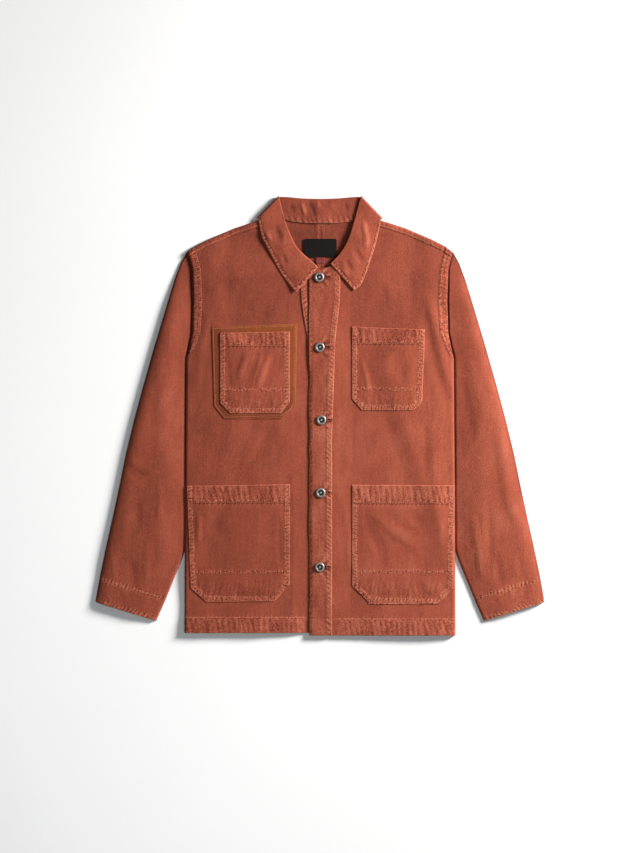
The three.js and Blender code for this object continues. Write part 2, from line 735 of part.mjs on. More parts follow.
const jacket = new THREE.Group();
jacket.name = 'chore_jacket';

const RIGHT = -1;
const LEFT = 1;
const backingLift = GAP + OVERLAP;
const placketTop = backLow(0, 400) + CLOTH + slack(0, 400) + CLOTH + OVERLAP;

jacket.add(
  piece('back_right', backHalf(RIGHT), CANVAS),
  piece('back_left', backHalf(LEFT), CANVAS),
  piece('front_right', front(RIGHT), CANVAS),
  piece('front_left', front(LEFT), CANVAS),
  piece('placket_right', placket(RIGHT), CANVAS),
  piece('placket_left', placket(LEFT), CANVAS),
  piece('sleeve_right_under', sleeveUnder(RIGHT), CANVAS),
  piece('sleeve_right_top', sleeveTop(RIGHT), CANVAS),
  piece('sleeve_left_under', sleeveUnder(LEFT), CANVAS),
  piece('sleeve_left_top', sleeveTop(LEFT), CANVAS),
  piece('collar', collar(), CANVAS),
  piece('pocket_backing', patch(RIGHT, BACKING, GAP), TAN),
  piece('chest_pocket_right', pocket(RIGHT, POCKETS.chest_pocket_right, backingLift), CANVAS),
  piece('chest_pocket_left', pocket(LEFT, POCKETS.chest_pocket_left, GAP), CANVAS),
  piece('lower_pocket_right', pocket(RIGHT, POCKETS.lower_pocket_right, GAP), CANVAS),
  piece('lower_pocket_left', pocket(LEFT, POCKETS.lower_pocket_left, GAP), CANVAS),
  piece('label', innerPatch(LABEL), BLACK),
  piece('size_tab', innerPatch(SIZE_TAB), DARK_RED),
);
BUTTONS.forEach(({ x, up }, i) => {
  jacket.add(piece(`button_${i + 1}`, button(x, up, placketTop + GAP), METAL, 0.45, 0.9));
});

export default jacket;
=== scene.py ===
"""Looks of a chore jacket of washed cotton canvas, buttoned up and laid flat on its back.

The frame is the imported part's: metres, +X to the wearer's left, +Y from the hem to the
collar, +Z up. Shapes are worked out in millimetres from the middle of the hem: `x` across,
`up` above the hem and `z` above the floor. `out` is a distance from the centre line.
"""

import math

import bpy
import numpy as np
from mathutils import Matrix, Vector


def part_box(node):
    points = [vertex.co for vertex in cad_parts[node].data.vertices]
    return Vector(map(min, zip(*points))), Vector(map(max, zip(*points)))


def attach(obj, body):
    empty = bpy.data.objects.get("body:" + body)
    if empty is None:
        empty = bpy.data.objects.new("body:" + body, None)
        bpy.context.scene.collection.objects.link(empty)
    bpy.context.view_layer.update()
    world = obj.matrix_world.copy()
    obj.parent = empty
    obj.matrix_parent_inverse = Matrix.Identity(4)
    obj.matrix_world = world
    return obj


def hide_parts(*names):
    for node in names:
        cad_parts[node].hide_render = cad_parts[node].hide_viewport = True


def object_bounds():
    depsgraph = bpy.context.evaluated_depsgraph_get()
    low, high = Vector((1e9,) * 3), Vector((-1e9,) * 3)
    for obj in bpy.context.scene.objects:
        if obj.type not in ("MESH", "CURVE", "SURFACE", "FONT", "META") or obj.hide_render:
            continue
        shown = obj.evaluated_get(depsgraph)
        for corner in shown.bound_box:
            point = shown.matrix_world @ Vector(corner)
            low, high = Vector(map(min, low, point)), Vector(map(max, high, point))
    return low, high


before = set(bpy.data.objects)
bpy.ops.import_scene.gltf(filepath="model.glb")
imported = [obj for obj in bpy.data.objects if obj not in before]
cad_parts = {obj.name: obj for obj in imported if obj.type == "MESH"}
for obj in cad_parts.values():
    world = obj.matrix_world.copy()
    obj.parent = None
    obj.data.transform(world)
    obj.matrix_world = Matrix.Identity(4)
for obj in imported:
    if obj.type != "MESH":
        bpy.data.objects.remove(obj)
part_low, part_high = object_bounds()

MM = 0.001
HEM_Y = part_low[1]

CLOTH = 1.2              # one layer of canvas
COLLAR = 1.7             # the collar's two layers and what stiffens them
LEAF_PRESSED = 1.3       # the leaves' roll, pressed down
GAP = 0.3                # between layers that lie on each other
PATCH = 0.9              # a pocket or a placket, pressed flat
SEWN_GAP = 0.15          # under what is sewn down
TURNED = 0.8             # what a turned hem or a felled seam adds
OVERLAP = CLOTH + GAP
FREE_EDGE = 19.8         # the opening's edge, past the centre line
SIDE_ROLL = 5.0          # width over which a folded side bends down
LEAST_SLACK = 0.4        # between back and front where they are drawn together

# Rows of stitches, as distances inside an edge.
POCKET_ROWS = (2.2, 8.6)
BACKING_ROWS = (3, 9)
PLACKET_ROWS = (3, 9)
FREE_ROW = 3.5           # along the opening
ARM_ROWS_APART = 7
CUFF_EDGE_ROW = 5
COLLAR_ROW = 6

RIGHT, LEFT = -1, 1
SIDES = {RIGHT: "right", LEFT: "left"}


# ------------------------------------------------------------------------ measures


def node_box(name):
    """The box of a CAD node in mm: (x0, up0, z0, x1, up1, z1)."""
    low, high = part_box(name)
    shift = Vector((0, HEM_Y, 0))
    return [value / MM for value in (*(low - shift), *(high - shift))]


def smooth(t):
    t = np.clip(t, 0, 1)
    return t * t * (3 - 2 * t)


def dome(t):
    """A quarter circle: 0 at an edge, steep there, and 1 from t = 1 on."""
    t = np.clip(t, 0, 1)
    return np.sqrt(1 - (1 - t) ** 2)


def bump(distance, width):
    """1 on a line and 0 from `width` away on, with soft shoulders."""
    return 1 - smooth(np.abs(distance) / width)


def read(table, value):
    """The second column of a table where its first column is `value`."""
    return np.interp(value, [row[0] for row in table], [row[1] for row in table])


def clouds(seed, across, along, x, up):
    """Smooth irregular values from -1 to 1, with features of about those sizes."""
    size, shift = 64, 200    # the lattice repeats; the shift keeps its places positive
    lattice = np.random.default_rng(seed).uniform(-1, 1, (size, size))
    u, v = np.asarray(x) / across + shift, np.asarray(up) / along + shift
    i, j = np.floor(u).astype(int), np.floor(v).astype(int)
    s, t = smooth(u - i), smooth(v - j)
    left, right, row, next_row = i % size, (i + 1) % size, j % size, (j + 1) % size
    near = lattice[left, row] * (1 - s) + lattice[right, row] * s
    far = lattice[left, next_row] * (1 - s) + lattice[right, next_row] * s
    return near * (1 - t) + far * t


def ripples(seed, period, along, across):
    """Uneven ridges that cross a seam: `along` it, and `across` away from it, in mm."""
    fine = clouds(seed, period * 0.36, 15, along, across)
    broad = clouds(seed + 1, period * 0.75, 24, along, across)
    return np.clip(1.1 * fine + 0.8 * broad, -1.2, 1.2)


def puckers(seed, period, along, across):
    """Short ridges across a row of stitches: 0.9 on each, -1.3 in the crease between."""
    drift = 0.42 * period * clouds(seed, 2.6 * period, 30, along, across)
    strength = 0.66 + 0.34 * clouds(seed + 1, 1.7 * period, 9, along, across)
    return strength * (2.2 * np.abs(np.sin(math.pi * (along + drift) / period)) ** 0.8 - 1.3)


def run_along(path, x, up):
    """Distance from a line of points, distance along it, side of it, and its length."""
    points = np.array(path, float)
    nearest = np.full(np.shape(x), 1e9)
    along = np.zeros(np.shape(x))
    side = np.zeros(np.shape(x))
    done = 0.0
    for a, b in zip(points, points[1:]):
        step = b - a
        length = float(np.hypot(*step))
        dx, dup = x - a[0], up - a[1]
        t = np.clip((dx * step[0] + dup * step[1]) / length**2, 0, 1)
        distance = np.hypot(dx - t * step[0], dup - t * step[1])
        closer = distance < nearest
        nearest = np.where(closer, distance, nearest)
        along = np.where(closer, done + t * length, along)
        side = np.where(closer, np.sign(dx * step[1] - dup * step[0]), side)
        done += length
    return nearest, along, side, done


def fold_rise(folds, x, up):
    """Height of soft folds: rows of (path, width on its right, width on its left, rise)."""
    total = np.zeros(np.shape(x))
    for path, right, left, rise in folds:
        distance, along, side, length = run_along(path, x, up)
        fade = min(0.45 * length, 2.2 * max(right, left))
        ends = smooth(along / fade) * smooth((length - along) / fade)
        total += rise * ends * bump(distance, np.where(side > 0, right, left))
    return total


# --------------------------------------------------------------------------- body

# (up, out): half the width of the body.
SIDE_EDGE = [
    (0, 244.5), (498, 241), (520, 236), (545, 231), (600, 229.5), (660, 231), (695, 240),
]
# (out, up): back neck and shoulders.
TOP_EDGE = [
    (0, 750), (60, 752), (75, 756.5), (118, 745), (155, 733.5), (204, 712), (226, 700.5),
    (240, 690),
]
# (out, up): front neckline, up to where it meets the shoulder.
NECKLINE = [
    (-25, 650), (-6, 656), (16.4, 664), (34, 669.5), (50, 679.5), (60, 694), (66, 712),
    (70, 728), (72, 745), (73, 755.5),
]
# (up, out): inner edge of the sleeve where it is tucked under the body.
TUCKED_EDGE = [
    (0, 306), (64, 277), (136, 249), (300, 193), (486, 128), (520, 150), (560, 205),
    (700, 212),
]
# (out, mm): room between back and front.
SLACK = [(0, 1.9), (25, 1.9), (60, 2.9), (110, 4.2), (160, 4.6), (205, 3.6), (239, 1.5)]
# (up, out): inner edge of a placket.
PLACKET_INNER = {
    RIGHT: [(0, 13), (485, 13), (515, 18.6), (532, 22), (560, 28), (604, 34.8), (680, 37)],
    LEFT: [(0, 21.6), (352, 21.6), (532, 27.5), (604, 35.8), (680, 37)],
}
# (up, mm): width of the felled seam along the armhole.
ARMHOLE_SEAM = [(492, 0), (512, 9), (545, 15), (600, 17), (690, 15)]

HEM_LINE = {RIGHT: 31.5, LEFT: 29.0}     # stitch line of the hem
HEM_LOW = {RIGHT: 4.5, LEFT: 0.0}
BACK_HEM_LOW = 6.0
NECK_END = 73            # where the neckline meets the shoulder
SHOULDER_SEAM = 11.5     # stitch line below the shoulder's edge
PLACKET_HEM = 31.0

# Folds of the fronts: (path of (x, up), width on its right, on its left, rise).
FRONT_FOLDS = [
    ([(192, 622), (213, 530), (236, 436)], 15, 22, 3.4),
    ([(215, 606), (228, 568), (238, 528)], 9, 9, -1.5),
    ([(182, 590), (196, 530), (207, 478), (222, 440), (236, 404)], 16, 16, -1.6),
    ([(199, 392), (207, 300), (221, 168)], 20, 26, 2.2),
    ([(186, 384), (194, 338)], 12, 12, -1.4),
    ([(48, 424), (47, 296)], 12, 12, 0.9),
    ([(36, 250), (49, 190), (53, 112)], 9, 9, 1.2),
    ([(118, 646), (132, 588)], 14, 14, 0.8),
    ([(150, 664), (172, 596)], 16, 16, -0.8),
    ([(-79, 390), (-104, 348), (-128, 306)], 14, 18, -2.2),
    ([(-60, 384), (-88, 330), (-96, 296)], 16, 14, 1.0),
    ([(-47, 306), (-46, 8)], 12, 12, 1.1),
    ([(-118, 606), (-115, 566)], 6, 6, 0.6),
    ([(-97, 610), (-96, 564)], 6, 6, -0.5),
    ([(-80, 604), (-78, 566)], 6, 6, 0.6),
    ([(-63, 606), (-61, 566)], 5, 5, -0.5),
    ([(-196, 600), (-214, 520), (-222, 430)], 16, 12, 1.6),
    ([(-200, 420), (-214, 340)], 15, 15, -1.1),
    ([(-150, 660), (-176, 604)], 16, 16, -0.9),
]


def painted_falloff_shade(x, up):
    """Painted shade: how much darker the cloth is painted over the shoulders, where the key light
    falls brighter, and on the wearer's right side, away from the key light.
    """
    return 0.26 * smooth((up - 430) / 200) + 0.18 * smooth((-20 - x) / 80)


def side_edge(up):
    return read(SIDE_EDGE, up)


def top_edge(out):
    return read(TOP_EDGE, out)


def front_limit(out):
    """Upper edge of a front: its neckline, then the shoulder."""
    return np.where(out < NECK_END, read(NECKLINE, out), top_edge(out))


def back_low(x, up):
    """Underside of the back: it rises over the tucked sleeves and the collar's fall."""
    out = np.abs(x)
    over_sleeve = 3.3 * smooth((out - read(TUCKED_EDGE, up) + 48) / 40)
    over_fall = 2.5 * smooth((up - 714) / 18) * (1 - smooth((out - 122) / 30))
    return np.maximum(over_sleeve, over_fall)


def slack(x, up):
    """Room between back and front, with the front's folds and its unevenness."""
    out = np.abs(x)
    uneven = 0.55 * clouds(11, 70, 110, x, up) + 0.22 * clouds(12, 26, 44, x, up)
    puffed_hem = (2.4 + 0.9 * clouds(13, 60, 400, x, up)) * bump(up, 80)
    puffed_side = 2.2 * smooth((out - 150) / 80) * (1 - smooth((up - 90) / 150))
    folded = 0.6 * fold_rise(FRONT_FOLDS, x, up)
    free = smooth((out - 26) / 30)
    loose = read(SLACK, out) - LEAST_SLACK + free * (uneven + puffed_hem + puffed_side + folded)
    return LEAST_SLACK + np.maximum(0, loose * (1 - smooth((up - 640) / 70)))


def closure_rise(x, up):
    """Rise of the front that buttons over, onto the other front and its placket."""
    onto = 2 * OVERLAP * (1 - smooth((x - 22) / 38))
    droop = (1 - smooth((x + FREE_EDGE) / 6)) * (1 - smooth((up - 465) / 30))
    return onto - OVERLAP * droop


def front_low(x, up, side):
    """Underside of a front; the left one also lies over the right one."""
    over = closure_rise(x, up) if side == LEFT else 0
    return back_low(x, up) + CLOTH + slack(x, up) + over


def hem_seam(x, up, side):
    """Rise, wear and speckle of a front's turned hem, which stops short of the placket."""
    line = HEM_LINE[side]
    away = smooth((np.abs(x) - 22) / 16)
    turned = away * (1 - smooth((up - line + 1.2) / 1.6))
    rope = 0.75 * puckers(21 + side, 9.5, x + 0.25 * up, up) + 0.45 * ripples(23, 9, x, up)
    rope = rope * turned * smooth((line - up) / 3)
    pull = away * puckers(25, 8, x - 0.3 * up, up) * smooth((up - line) / 1.5) * bump(up - line, 10)
    groove = away * bump(up - line, 1.7)
    lip = away * bump(up - line - 1.6, 1.5)
    rise = TURNED * turned - 0.4 * groove + 0.38 * rope + 0.2 * pull
    wear_and_shade = 0.76 * rope + 0.6 * pull - 0.7 * groove + 0.1 * turned + lip
    return rise, wear_and_shade, np.maximum(0.4 * turned, away * bump(up - line, 2.8))


def shoulder_seam(x, up):
    """The same of the felled seam along a shoulder, from the neck outwards."""
    out = np.abs(x)
    below = front_limit(out) - up - SHOULDER_SEAM
    past_neck = smooth((out - 74) / 8)
    felled = smooth((0.8 - below) / 1.6) * past_neck
    groove = bump(below, 1.6) * past_neck
    lip = bump(below + 1.8, 1.6) * past_neck
    rope = puckers(31, 8, x, below + SHOULDER_SEAM) * felled
    rise = 1.2 * TURNED * felled - 0.4 * groove + 0.2 * rope
    return rise, 0.4 * rope - 1.6 * groove + 1.2 * lip, 0.3 * felled


def armhole_seam(x, up, side):
    """The same of the felled seam round an armhole, which tapers out under the arm, with painted
    shade on the side's rolled edge beside it.
    """
    out = np.abs(x)
    inward = side_edge(up) - out
    past_row = inward - read(ARMHOLE_SEAM, up)
    shown = smooth((up - 494) / 20)
    felled = shown * smooth((0.8 - past_row) / 1.6)
    grooves = shown * np.maximum(bump(past_row, 1.6), bump(past_row + ARM_ROWS_APART, 1.4))
    rope = puckers(41 + side, 6.4, up + 0.5 * out, inward) * shown * smooth((1 - past_row) / 4)
    rope = rope * (0.6 + 0.4 * bump(past_row + ARM_ROWS_APART / 2, 6))
    rise = TURNED * felled - 0.4 * grooves + 0.3 * rope
    # The last term is painted shade along the front's rolled side edge beside the armhole, where
    # the key light catches it.
    wear_and_shade = 0.1 * felled + rope - 1.2 * grooves - 0.45 * shown * bump(inward - 1, 5)
    return rise, wear_and_shade, np.maximum(0.5 * felled, shown * bump(past_row, 3))


def front_top(x, up, side):
    """Upper surface of a front, its wear and painted shade, and the speckle of its seams."""
    hem, shoulder, arm = hem_seam(x, up, side), shoulder_seam(x, up), armhole_seam(x, up, side)
    rise = hem[0] + shoulder[0] + arm[0]
    # Painted shade over the shoulders and on the wearer's right side is taken off here.
    wear_and_shade = hem[1] + shoulder[1] + arm[1] - painted_falloff_shade(x, up)
    seam = np.maximum(hem[2], np.maximum(shoulder[2], arm[2]))
    return front_low(x, up, side) + CLOTH + rise, wear_and_shade, seam


# --------------------------------------------------------------------------- meshes


def make_object(name, points, faces, wear_and_shade, seam, material):
    """A smooth-shaded mesh from points in mm, with the cloth's wear and painted shade, and its
    seams, at each.
    """
    points = np.asarray(points, float)
    faces = np.asarray(faces)
    a, b, c = (points[faces[:, i]] for i in range(3))
    volume = float(np.einsum("ij,ij->i", a, np.cross(b, c)).sum())
    if faces.shape[1] == 4:
        d = points[faces[:, 3]]
        volume += float(np.einsum("ij,ij->i", a, np.cross(c, d)).sum())
    if volume < 0:
        faces = faces[:, ::-1]
    placed = points * MM + np.array([0, HEM_Y, 0])
    mesh = bpy.data.meshes.new(name)
    mesh.from_pydata(placed.tolist(), [], faces.tolist())
    mesh.polygons.foreach_set("use_smooth", np.ones(len(faces), bool))
    for kind, values in (("wear_and_shade", wear_and_shade), ("seam", seam)):
        attribute = mesh.attributes.new(kind, "FLOAT", "POINT")
        attribute.data.foreach_set("value", np.asarray(values, np.float32).ravel())
    mesh.update()
    made = bpy.data.objects.new(name, mesh)
    bpy.context.scene.collection.objects.link(made)
    made.data.materials.append(material)
    return made


def shell_faces(rows, columns):
    """Quads of a closed sheet: its lower grid, its upper grid and the rim between them."""
    count = rows * columns
    index = np.arange(count).reshape(rows, columns)
    a, b = index[:-1, :-1].ravel(), index[:-1, 1:].ravel()
    d, c = index[1:, :-1].ravel(), index[1:, 1:].ravel()
    lower = np.stack([a, d, c, b], 1)
    upper = np.stack([a, b, c, d], 1) + count
    rim = np.concatenate([
        index[0, :-1], index[:-1, -1], index[-1, :0:-1], index[:0:-1, 0],
    ])
    after = np.roll(rim, -1)
    side = np.stack([rim, after, after + count, rim + count], 1)
    return np.concatenate([lower, upper, side])


def make_shell(name, x, up, low, high, wear_and_shade, seam, material):
    """A closed sheet over a grid: place, underside, upper side, wear and painted shade, and seams
    by point.
    """
    rows, columns = x.shape
    under = np.stack([x, up, low], -1).reshape(-1, 3)
    over = np.stack([x, up, high], -1).reshape(-1, 3)
    wear_and_shade = np.tile(np.broadcast_to(wear_and_shade, x.shape).ravel(), 2)
    seam = np.tile(np.broadcast_to(seam, x.shape).ravel(), 2)
    points = np.concatenate([under, over])
    return make_object(name, points, shell_faces(rows, columns), wear_and_shade, seam, material)


def steps(length, step, edge_steps=(0, 0.35, 0.8, 1.4, 2.2, 3.2, 4.5)):
    """Places from 0 to `length`, `step` apart, and closer near both ends."""
    edge = [place for place in edge_steps if place < length / 3]
    inner = np.linspace(edge[-1], length - edge[-1], max(2, round((length - 2 * edge[-1]) / step)))
    return np.concatenate([edge[:-1], inner, [length - place for place in reversed(edge[:-1])]])


def refine(places, around, offsets):
    """The places, with more of them near each of `around`."""
    extra = [centre + offset for centre in around for offset in offsets]
    merged = np.unique(np.round(np.concatenate([places, extra]), 3))
    keep = np.concatenate([[True], np.diff(merged) > 0.25])
    keep[-1] = True
    return merged[keep]


BODY_HALF = 241.0        # half the body's width, about
BODY_STRAIGHT = 502.0    # rows below this are level; above it they follow the upper edge
BODY_TALL = 690.0
HEM_ROWS_END = 38


def body_grid(side, start, columns, rows, limit):
    """Places of a body panel's grid: columns are shares of its width, rows levels."""
    share, level = columns[None, :], rows[:, None]
    up = level + 0 * share
    for _ in range(6):
        out = start + (side_edge(up) - start) * share
        climb = (level - BODY_STRAIGHT) / (BODY_TALL - BODY_STRAIGHT)
        up = np.where(climb > 0, BODY_STRAIGHT + climb * (limit(out) - BODY_STRAIGHT), level)
    return side * out, up


def body_rows(hem, step):
    """Levels of a front's rows: close in the hem, in the shoulder seam and at both edges."""
    edge = [hem + place for place in (0, 0.35, 0.8, 1.4, 2.2)]
    turned = np.arange(hem + 3.6, HEM_ROWS_END, 1.9)
    middle = np.arange(HEM_ROWS_END + step / 2, BODY_TALL - 18, step)
    seam = np.arange(BODY_TALL - 17, BODY_TALL - 6, 1.2)
    high = [BODY_TALL - place for place in (5.5, 4.2, 3.1, 2.1, 1.3, 0.7, 0.3, 0)]
    return np.concatenate([edge, turned, middle, seam, high])


# ------------------------------------------------------------------------ materials


def paint(red, green, blue):
    """Scene-linear colour from display values of 0 to 255."""
    def linear(value):
        value = value / 255
        return value / 12.92 if value <= 0.04045 else ((value + 0.055) / 1.055) ** 2.4
    return (linear(red), linear(green), linear(blue), 1)


class Varying:
    """A number that varies over a material; sums with it become Math nodes."""

    def __init__(self, look, socket):
        self.look = look
        self.socket = socket

    def math(self, operation, first, second=None):
        values = {0: first} if second is None else {0: first, 1: second}
        node = self.look.node("ShaderNodeMath", {"operation": operation}, values)
        return Varying(self.look, node.outputs[0])

    def __add__(self, other):
        return self.math("ADD", self, other)

    def __radd__(self, other):
        return self.math("ADD", other, self)

    def __sub__(self, other):
        return self.math("SUBTRACT", self, other)

    def __rsub__(self, other):
        return self.math("SUBTRACT", other, self)

    def __mul__(self, other):
        return self.math("MULTIPLY", self, other)

    def __rmul__(self, other):
        return self.math("MULTIPLY", other, self)

    def sine(self):
        return self.math("SINE", self)

    def clamped(self):
        return self.math("MINIMUM", self.math("MAXIMUM", self, 0.0), 1.0)


class Look:
    """One material: its nodes, made by type, settings and values."""

    def __init__(self, name):
        self.material = bpy.data.materials.new(name)
        self.material.use_nodes = True
        self.tree = self.material.node_tree
        self.shader = self.tree.nodes["Principled BSDF"]

    def give(self, socket, value):
        if isinstance(value, Varying):
            value = value.socket
        if isinstance(value, bpy.types.NodeSocket):
            self.tree.links.new(value, socket)
        else:
            socket.default_value = value

    def node(self, kind, settings, values):
        made = self.tree.nodes.new(kind)
        for setting, value in settings.items():
            setattr(made, setting, value)
        for name, value in values.items():
            self.give(made.inputs[name], value)
        return made

    def place(self):
        return self.node("ShaderNodeTexCoord", {}, {}).outputs["Object"]

    def noise(self, scale, detail=3.0, stretch=(1, 1, 1)):
        """Noise of about 0 to 1, with features 1 / scale metres wide."""
        fitted = self.node("ShaderNodeMapping", {}, {"Vector": self.place(), "Scale": stretch})
        made = self.node("ShaderNodeTexNoise", {}, {
            "Vector": fitted.outputs["Vector"], "Scale": scale, "Detail": detail,
        })
        return Varying(self, made.outputs["Fac"])

    def cloth(self, kind):
        """What the mesh says of the cloth at each point: its wear and painted shade, or its seams.
        """
        made = self.node("ShaderNodeAttribute", {"attribute_name": kind}, {})
        return Varying(self, made.outputs["Fac"])

    def mix(self, share, first, second):
        made = self.node("ShaderNodeMix", {"data_type": "RGBA"}, {0: share, 6: first, 7: second})
        return made.outputs[2]

    def twill(self, across, along):
        """Fine diagonal ribs: 0 to 1."""
        parts = self.node("ShaderNodeSeparateXYZ", {}, {"Vector": self.place()})
        x = Varying(self, parts.outputs["X"])
        y = Varying(self, parts.outputs["Y"])
        return (x * across + y * along).sine() * 0.5 + 0.5

    def bump_normal(self, height, distance, strength):
        made = self.node("ShaderNodeBump", {}, {
            "Height": height, "Distance": distance, "Strength": strength,
        })
        self.give(self.shader.inputs["Normal"], made.outputs["Normal"])

    def set(self, **values):
        for name, value in values.items():
            self.give(self.shader.inputs[name.replace("_", " ")], value)


def canvas_look(name, base, worn, deep_dye_and_shade_colour):
    """Garment-dyed canvas: its colour is lighter where it is rubbed and deeper in folds; the same
    deep colour also carries painted shade, in crevices, buttonholes and over the shoulders.
    """
    look = Look(name)
    wear_and_shade = look.cloth("wear_and_shade")
    seam = look.cloth("seam")
    broad = look.noise(9, 3)
    patch = look.noise(38, 4, (1, 0.6, 1))
    fleck = look.noise(330, 3)
    slub = look.noise(240, 2, (1, 0.12, 1))
    grit = (look.noise(360, 1) - 0.5) * seam
    ribs = look.twill(4200, 5200)
    mottle = (broad - 0.5) * 0.7 + (patch - 0.5) * 0.75 + (fleck - 0.5) * 0.9
    mottle = mottle + (slub - 0.5) * 0.5 + grit * 6.5
    rubbed = (wear_and_shade + mottle).clamped()
    # Negative values darken towards the deep colour: deeper dye in hollows, and painted shade where
    # the mesh asks for it.
    dye_depth_and_shade = (0 - (wear_and_shade + mottle)).clamped()
    tone = look.mix(dye_depth_and_shade, look.mix(rubbed, base, worn), deep_dye_and_shade_colour)
    weave = look.mix(ribs * 0.16, tone, worn)
    look.set(Base_Color=weave, Roughness=0.84 + rubbed * 0.08, Specular_IOR_Level=0.16,
             Sheen_Weight=0.03, Sheen_Roughness=0.5)
    look.bump_normal(ribs * 0.5 + fleck * 0.9 + slub * 0.6 + grit * 2.6, 0.0005, 0.6)
    return look.material


CANVAS = canvas_look("canvas", paint(133, 60, 41), paint(165, 94, 72), paint(80, 26, 15))
TAN_CANVAS = canvas_look("tan_canvas", paint(121, 59, 24), paint(145, 80, 41), paint(104, 46, 25))
THREAD = canvas_look("thread", paint(184, 110, 84), paint(202, 132, 106), paint(146, 76, 54))

BUTTON_LOOK = Look("aged_metal")
spots = BUTTON_LOOK.noise(900, 4)
metal_patina_and_highlight = BUTTON_LOOK.cloth("wear_and_shade")
# The metal is lighter where the button's rows ask for rubbed metal and painted highlights, and dark
# where they ask for patina.
BUTTON_LOOK.set(
    Base_Color=BUTTON_LOOK.mix((metal_patina_and_highlight + (spots - 0.5) * 0.6).clamped(),
                               paint(34, 30, 28), paint(146, 141, 136)),
    Metallic=0.85, Roughness=0.34 + spots * 0.25)
METAL = BUTTON_LOOK.material

LABEL_LOOK = Look("label_weave")
threads = LABEL_LOOK.twill(9000, 900)
LABEL_LOOK.set(Base_Color=LABEL_LOOK.mix(threads * 0.3 + LABEL_LOOK.cloth("wear_and_shade") * 0.5,
                                         paint(14, 11, 10), paint(30, 25, 23)),
               Roughness=0.8 + threads * 0.1, Specular_IOR_Level=0.1)
LABEL_LOOK.bump_normal(threads, 0.0002, 0.4)
BLACK = LABEL_LOOK.material

TAB_LOOK = Look("tab_weave")
tab_threads = TAB_LOOK.twill(8000, 1200)
TAB_LOOK.set(Base_Color=TAB_LOOK.mix(tab_threads * 0.4, paint(96, 26, 24), paint(122, 44, 38)),
             Roughness=0.82 + tab_threads * 0.1)
TAB_LOOK.bump_normal(tab_threads, 0.0002, 0.4)
RED = TAB_LOOK.material


# ------------------------------------------------------------------------ back, fronts


BACK_START = {RIGHT: -11.5, LEFT: -4.5}      # the halves lap at the centre seam
BACK_LAP = -BACK_START[LEFT]


def make_back(side):
    start = BACK_START[side]
    wide = BODY_HALF - start
    columns = steps(wide, 4.6) / wide
    rows = BACK_HEM_LOW + steps(BODY_TALL - BACK_HEM_LOW, 9)
    rows = refine(rows, [600], np.arange(0, 84, 3))
    x, up = body_grid(side, start, columns, rows, top_edge)
    out = side * x
    low = back_low(x, up)
    # Painted shade: the back is painted darker above 600 mm, where it shows inside the neck under
    # the collar.
    wear_and_shade = 0.2 * clouds(51, 40, 60, x, up) - 0.6 * smooth((up - 600) / 30)
    speckle = 0
    if side == RIGHT:
        low = low + OVERLAP * (1 - smooth((out - BACK_LAP) / 4))
        wear_and_shade = wear_and_shade - 1.1 * bump(out - BACK_LAP, 1.6) - 1.1 * bump(out + 11, 1.6)
        wear_and_shade = wear_and_shade + 0.15 * (1 - smooth((out + 1) / 6))
        wear_and_shade = wear_and_shade + 0.8 * bump(out - 2.6, 1.6) - 0.7 * bump(out + 2, 1.4)
        speckle = 0.6 * bump(out + 3.5, 11) * (up > 600)
    inward = side_edge(up) - out
    rim = dome((inward - 2.2) / 1.2) * dome((top_edge(out) - up) / 1.2)
    rim = rim * dome((up - BACK_HEM_LOW) / 1.2) * dome((out - start) / 1.2)
    rim = 0.25 + 0.75 * rim
    middle = low + CLOTH / 2
    return make_shell(f"back_{SIDES[side]}_visual", x, up, middle - rim * CLOTH / 2,
                      middle + rim * CLOTH / 2, wear_and_shade, speckle, CANVAS)


FRONT_START = {RIGHT: -FREE_EDGE, LEFT: -FREE_EDGE + 1.3}   # the left one is under its placket


def front_columns():
    """Shares of a front's width: close at the opening, the armhole seam and the side."""
    wide = BODY_HALF + FREE_EDGE
    edge = [0, 0.5, 1.1, 2.0]
    roll = [0, 0.15, 0.5, 1.0, 1.7, 2.5, 3.4, 4.4, 5.6]
    inner = np.arange(edge[-1] + 1.9, wide - 25, 2.3)
    seam = np.arange(wide - 24, wide - roll[-1] - 0.8, 1.2)
    ends = [wide - place for place in reversed(roll)]
    return np.concatenate([edge, inner, seam, ends]) / wide


def make_front(side):
    hem_low = HEM_LOW[side]
    columns, rows = front_columns(), body_rows(hem_low, 3.5)
    x, up = body_grid(side, FRONT_START[side], columns, rows, front_limit)
    out = side * x
    top, wear_and_shade, seam = front_top(x, up, side)
    under = front_low(x, up, side)
    floor = back_low(x, up)
    inward = side_edge(up) - out
    below_shoulder = np.where(out > NECK_END, front_limit(out) - up, 99)
    roll = dome(inward / SIDE_ROLL) * dome(below_shoulder / SIDE_ROLL)
    inner_roll = dome((inward - CLOTH) / SIDE_ROLL) * dome((below_shoulder - CLOTH) / SIDE_ROLL)
    high = floor + 0.1 + (top - floor - 0.1) * roll
    low = floor + (under - floor) * inner_roll
    hem = dome((up - hem_low) / 1.5)
    rounded = 0.1 + 0.9 * hem
    middle = (top + under) / 2
    high = np.where(hem < 1, np.minimum(high, middle + (top - middle) * rounded), high)
    low = np.where(hem < 1, np.maximum(low, middle - (middle - under) * rounded), low)
    low = np.minimum(low, high - 0.08)
    patchy = 0.55 + 0.45 * clouds(52, 9, 14, x, up)
    worn_side = 0.3 * bump(inward - 2, 3) * (up > 30) * (1 - smooth((up - 230) / 60))
    worn_hem = 0.8 * bump(up - hem_low - 0.6, 1.8)
    wear_and_shade = wear_and_shade + patchy * (worn_side + worn_hem)
    return make_shell(f"front_{SIDES[side]}_visual", x, up, low, high, wear_and_shade, seam, CANVAS)


